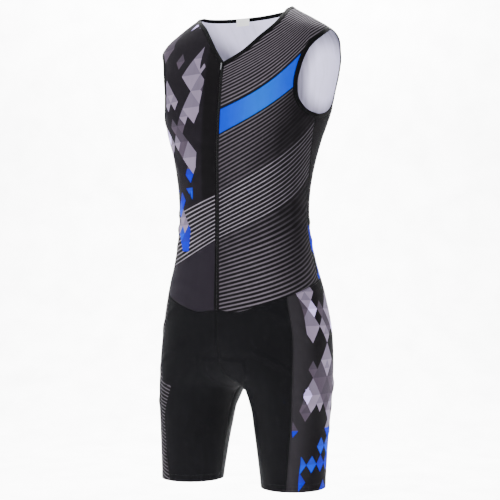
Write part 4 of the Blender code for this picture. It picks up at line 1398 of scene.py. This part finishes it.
class SKINSUIT_OT_zip(bpy.types.Operator):
    """Put in the zip's tapes, coil, slider and pull tab"""
    bl_idname = "skinsuit.zip"
    bl_label = "Zip"

    def execute(self, context):
        """Make the pieces."""
        tape = kept(plain_cloth, "zip_tape_cloth", colours().band, 0.0007, 1.2)
        points, normals, flat = zip_places(np.linspace(*TAPE_EDGES, 9), ZIP_TOP[1] - 0.004,
                                           WAIST_SEAM[0][1] + 0.002, 120)
        outer = points - normals * TAPE_DEPTH
        inner = outer - normals * TAPE_THICK
        for word, mirrored in (("left", False), ("right", True)):
            piece = shell(f"tape_{word}", outer, inner, [tape] * 3, flat, mirrored)
            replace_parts(piece, f"zip_tape_{word}")
        self.coil()
        self.slider()
        return {"FINISHED"}

    def coil(self):
        """Closed nylon coil: beads laid across in turn from either side on a thin core."""
        ends = (COIL_TOP_Z, WAIST_SEAM[0][1] + 0.0005)
        count = int((ends[0] - ends[1]) / sizes().tooth_pitch * 2)
        points, normals, _ = zip_places([0.0], *ends, count)
        points, normals = points[:, 0], normals[:, 0]
        side = np.where(np.arange(count) % 2 == 0, 1.0, -1.0)
        centres = points - normals * COIL_DEPTH
        centres[:, 0] += side * COIL_SHIFT
        across = unit(np.stack([np.ones(count), 0 * side, side * COIL_LEAN], axis=-1))
        nylon = kept(trim, "nylon_coil", NYLON)
        teeth = beads("coil_teeth", centres, across, normals, TOOTH, nylon)
        points, normals, flat = zip_places(np.linspace(-CORE_HALF, CORE_HALF, 7), *ends, 120)
        outer = points - normals * CORE_DEPTH
        core = shell("coil_core", outer, outer - normals * CORE_THICK, [nylon] * 3,
                     flat)
        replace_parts(joined("zip_coil", [teeth, core]), "zip_chain")

    def slider(self):
        """Cast slider with two lugs and a pin, and the pull tab with its eye."""
        seat = figure(-1.0, SLIDER_Z)
        up = unit((figure(-1.0, SLIDER_Z + 0.004) - figure(-1.0, SLIDER_Z - 0.004)) * IN_CENTRE)
        right = np.array([1.0, 0.0, 0.0])
        out = np.cross(up, right)
        out = out * -np.sign(out[1])
        cast, metal = kept(trim, "cast_slider", CAST), kept(trim, "tab_metal", colours().tab)
        pin_place = seat + out * PIN_OUT + up * PIN_UP
        parts = [bar("slider_body", rounded_profile(0.0080, 0.00205, 0.0006, 1.08),
                     seat + out * 0.0008 - up * 0.0040, (right, out, up), cast)]
        parts += [bar(f"slider_lug_{i}", rounded_profile(0.0026, 0.0009, 0.0004),
                      seat + out * 0.0012 + up * PIN_UP + right * x, (up, right, out), cast) for i, x in enumerate((-LUG_X, LUG_X))]
        parts.append(bar("slider_pin", rounded_profile(2 * PIN_HALF, PIN_RADIUS, PIN_RADIUS),
                         pin_place - right * PIN_HALF, (up, out, right), cast, 2.0))
        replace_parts(joined("zip_slider_cast", parts), "zip_slider")
        blade = bar("tab_blade", rounded_profile(0.0118, 0.0013, 0.0004),
                    pin_place - up * 0.0006, (right, out, -up), metal, body="zip_pull")
        turn, ring = angles(24)[:, None, None], angles(16)[None, :, None]
        rings = (pin_place + right * EYE_HALF_LENGTH * np.sin(ring)
                 + (up * np.cos(turn) + out * np.sin(turn))
                 * (EYE_RADIUS + EYE_HALF_WALL * np.cos(ring)))
        eye = tube("tab_eye", rings, metal, closed=True, body="zip_pull")
        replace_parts(joined("zip_pull", [blade, eye]), "zip_pull_tab")


# ------------------------------------------------------------------ label and pad
class SKINSUIT_OT_label(bpy.types.Operator):
    """Sew the bare label inside the back neck"""
    bl_idname = "skinsuit.label"
    bl_label = "Label"

    def execute(self, context):
        """Make the pieces. The tape falls in a shallow curve, its lower edge turned up."""
        low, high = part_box("neck_label")
        x, t = np.meshgrid(np.linspace(low.x, high.x, 27), np.linspace(0, 1, 17))
        size = section(np.full(x.shape, NECK_CORNER[1]))
        across = np.clip(x / size["half"], -1, 1)
        y = size["mid"] + depth(size, True) * (1 - across ** 2) ** 0.5
        y = y - (y.max() - high.y) + 0.0002 + 0.0006 * np.sin(t * math.pi * 0.9)
        z = high.z - (high.z - low.z) * t
        outer = np.stack([x, y - 0.0006, z], axis=-1)
        inner = np.stack([x, y - 0.0001, z], axis=-1)
        tape = kept(label_cloth, "label_tape")
        piece = shell("label", outer, inner, [tape] * 3,
                      {"flat": np.stack([x, z, 0 * z], axis=-1)})
        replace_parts(piece, "neck_label")
        at = np.linspace(low.x + 0.001, high.x - 0.001, LABEL_STITCHES)
        centres = np.stack([at, np.interp(at, x[0], y[0]) - 0.0007,
                            np.full(LABEL_STITCHES, high.z - 0.0012)], axis=-1)
        beads("stitches_label", centres, np.tile([1.0, 0, 0], (LABEL_STITCHES, 1)),
              np.tile([0, -1.0, 0], (LABEL_STITCHES, 1)), (0.0019, 0.0003, 0.0003),
              kept(thread, "label_thread", (0.75, 0.75, 0.74), (0.55, 0.55, 0.55)))
        return {"FINISHED"}


def pad_quarter(w, half_width, end_z, rows, cols):
    """Grid of places of the pad's left front or back quarter, from its end to the fork."""
    is_back = w > 0
    across, down = np.linspace(0, 1, cols), np.linspace(0, 1, rows)
    top = np.stack([w_at(half_width * across, np.full(cols, end_z), is_back),
                    np.full(cols, end_z)], axis=-1)
    bottom = np.stack([np.full(cols, w),
                       CROTCH_Z + (PAD_LEG_Z - CROTCH_Z) * across ** 2], axis=-1)
    left = np.stack([np.full(rows, w), CROTCH_Z + (end_z - CROTCH_Z) * (1 - down) ** 2], -1)
    right_z = end_z + (PAD_LEG_Z - end_z) * down
    right_x = half_width + (figure(w, PAD_LEG_Z)[0] - half_width) * down ** 1.5
    right = np.stack([w_at(right_x, right_z, is_back), right_z], axis=-1)
    right[-1] = bottom[-1]
    return patch(top, bottom, left, right, across, down)


class SKINSUIT_OT_pad(bpy.types.Operator):
    """Build the seat pad inside the shorts"""
    bl_idname = "skinsuit.pad"
    bl_label = "Seat pad"

    def execute(self, context):
        """Make the piece: thick in the middle, thin at its sewn edge, with two channels.

        Its thickness is edge + rise * (1 - exp(-distance / 8 mm)), less the channels.
        """
        front = pad_quarter(-1.0, PAD_FRONT_HALF, PAD_FRONT_Z, 56, 30)
        back = pad_quarter(1.0, PAD_BACK_HALF, PAD_BACK_Z, 56, 30)
        places = np.concatenate([front, back[-2::-1]])[:, ::-1]
        w, z = places[..., 0], places[..., 1]
        points, normals = figure(w, z), outward(w, z)
        onto_centre(normals)
        points[:, -1, 0] = 0.0
        near = border_distance(points, open_side=True)
        side_run = run_of(points, 1)
        channel = np.exp(-((side_run[:, -1:] - side_run - 0.014) / 0.0022) ** 2)
        thick = (PAD_EDGE + PAD_RISE * (1 - np.exp(-near / 0.008))
                 - PAD_CHANNEL * channel * np.clip(near / 0.01, 0, 1))
        outer = points - normals * PAD_DEPTH
        inner = outer - normals * np.maximum(thick, PAD_EDGE)[..., None]
        flat = np.stack([arc(w, z), z, 0 * z], axis=-1)
        outer, inner, flat = (both_halves(part, part * FLIP) for part in (outer, inner, flat))
        cloth = kept(plain_cloth, "pad_cloth", colours().pad, 0.0013, 1.2)
        piece = shell("pad", outer, inner, [cloth] * 3, {"flat": flat})
        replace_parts(piece, "seat_pad")
        return {"FINISHED"}


# ------------------------------------------------------------------ stage
class SKINSUIT_OT_stage(bpy.types.Operator):
    """Set up the floor, the lights and the camera"""
    bl_idname = "skinsuit.stage"
    bl_label = "Studio"

    def execute(self, context):
        """Make the stage: a floor that curves up into a backdrop, soft lights, a camera."""
        scene = context.scene
        turn = math.radians(VIEW_DEGREES)
        behind = np.array([-math.sin(turn), math.cos(turn), 0.0])
        beside = np.array([math.cos(turn), math.sin(turn), 0.0])
        bend = np.linspace(0, math.pi / 2, 25)
        radius, floor_z, start, front = 1.6, -1.25, 2.6, -4.0
        path = np.concatenate([
            [[front, floor_z]], [[start - 1.0, floor_z]],
            np.stack([start + radius * np.sin(bend), floor_z + radius * (1 - np.cos(bend))],
                     axis=-1), [[start + radius, floor_z + 5.0]]])
        across = np.linspace(-6.0, 6.0, 13)
        points = (behind * path[:, None, :1] + beside * across[None, :, None]
                  + np.array([0, 0, 1.0]) * path[:, None, 1:])
        mesh = bpy.data.meshes.new("backdrop")
        mesh.from_pydata(points.reshape(-1, 3).tolist(), [],
                         grid_faces(len(path), len(across))[:, ::-1].tolist())
        mesh.shade_smooth()
        mesh.materials.append(kept(trim, "paper", colours().floor, 40.0))
        backdrop = bpy.data.objects.new("backdrop", mesh)
        scene.collection.objects.link(backdrop)

        camera = bpy.data.objects.new("camera", bpy.data.cameras.new("camera"))
        camera.data.sensor_width = 36.0
        camera.data.lens = LENS
        camera.data.shift_x, camera.data.shift_y = SHIFT
        camera.location = (2.0 * math.sin(turn), -2.0 * math.cos(turn), VIEW_Z)
        camera.rotation_euler = (math.pi / 2, 0.0, turn)
        scene.collection.objects.link(camera)
        scene.camera = camera

        world = bpy.data.worlds.new("studio")
        world.use_nodes = True
        world.node_tree.nodes["Background"].inputs[0].default_value = (1.0, 1.0, 1.0, 1.0)
        world.node_tree.nodes["Background"].inputs[1].default_value = 1.0
        scene.world = world
        body = (0.0, 0.0, -0.42)
        lights = (("key", 1.6, 38.0, (-0.9, -1.9, 0.6), body),
                  ("fill", 1.8, 20.0, (2.2, -1.4, 0.0), body),
                  ("crown", 1.6, 22.0, (0.2, 0.1, 1.6), body),
                  ("rim", 1.2, 12.0, (-1.4, 1.6, 0.3), body),
                  ("hollow", 0.1, 0.30, (0.03, -0.02, -0.20), (0.04, 0.11, -0.08)),
                  ("sweep", 3.0, 1500.0, behind * 1.9 + [0, 0, 2.4],
                   behind * 3.6 + [0, 0, -0.6]))
        for name, size, power, place, aim in lights:
            light = bpy.data.lights.new(name, "AREA")
            light.size = size
            light.energy = power
            lamp = bpy.data.objects.new(name, light)
            lamp.location = place
            lamp.visible_camera = False
            away = np.array(place) - np.array(aim)
            lamp.rotation_euler = (math.atan2(math.hypot(away[0], away[1]), away[2]), 0.0,
                                   math.atan2(away[0], -away[1]))
            scene.collection.objects.link(lamp)
        return {"FINISHED"}


class SKINSUIT_PT_panel(bpy.types.Panel):
    """Sidebar list of the skinsuit's settings and pieces"""
    bl_idname = "SKINSUIT_PT_panel"
    bl_label = "Cycling Skinsuit"
    bl_space_type = "VIEW_3D"
    bl_region_type = "UI"
    bl_category = "Skinsuit"

    def draw(self, context):
        """Lay out the settings and one button for each operator."""
        layout = self.layout
        for group in (context.scene.skinsuit_sizes, context.scene.skinsuit_colours):
            box = layout.box()
            for key in group.__annotations__:
                box.prop(group, key)
        for operator in OPERATORS:
            layout.operator(operator.bl_idname)


OPERATORS = (SKINSUIT_OT_stage, SKINSUIT_OT_top, SKINSUIT_OT_shorts, SKINSUIT_OT_bindings,
             SKINSUIT_OT_zip, SKINSUIT_OT_label, SKINSUIT_OT_pad, SKINSUIT_OT_stitching)
CLASSES = (SkinsuitSizes, SkinsuitColours, *OPERATORS, SKINSUIT_PT_panel)


def register():
    """Add the classes and the settings to Blender."""
    for item in CLASSES:
        bpy.utils.register_class(item)
    bpy.types.Scene.skinsuit_sizes = PointerProperty(type=SkinsuitSizes)
    bpy.types.Scene.skinsuit_colours = PointerProperty(type=SkinsuitColours)


def unregister():
    """Take them out again."""
    del bpy.types.Scene.skinsuit_sizes
    del bpy.types.Scene.skinsuit_colours
    for item in reversed(CLASSES):
        bpy.utils.unregister_class(item)


def main():
    """Build everything."""
    register()
    bpy.ops.skinsuit.stage()
    bpy.ops.skinsuit.top()
    bpy.ops.skinsuit.shorts()
    bpy.ops.skinsuit.bindings()
    bpy.ops.skinsuit.zip()
    bpy.ops.skinsuit.label()
    bpy.ops.skinsuit.pad()
    bpy.ops.skinsuit.stitching()


if __name__ == "__main__":
    main()
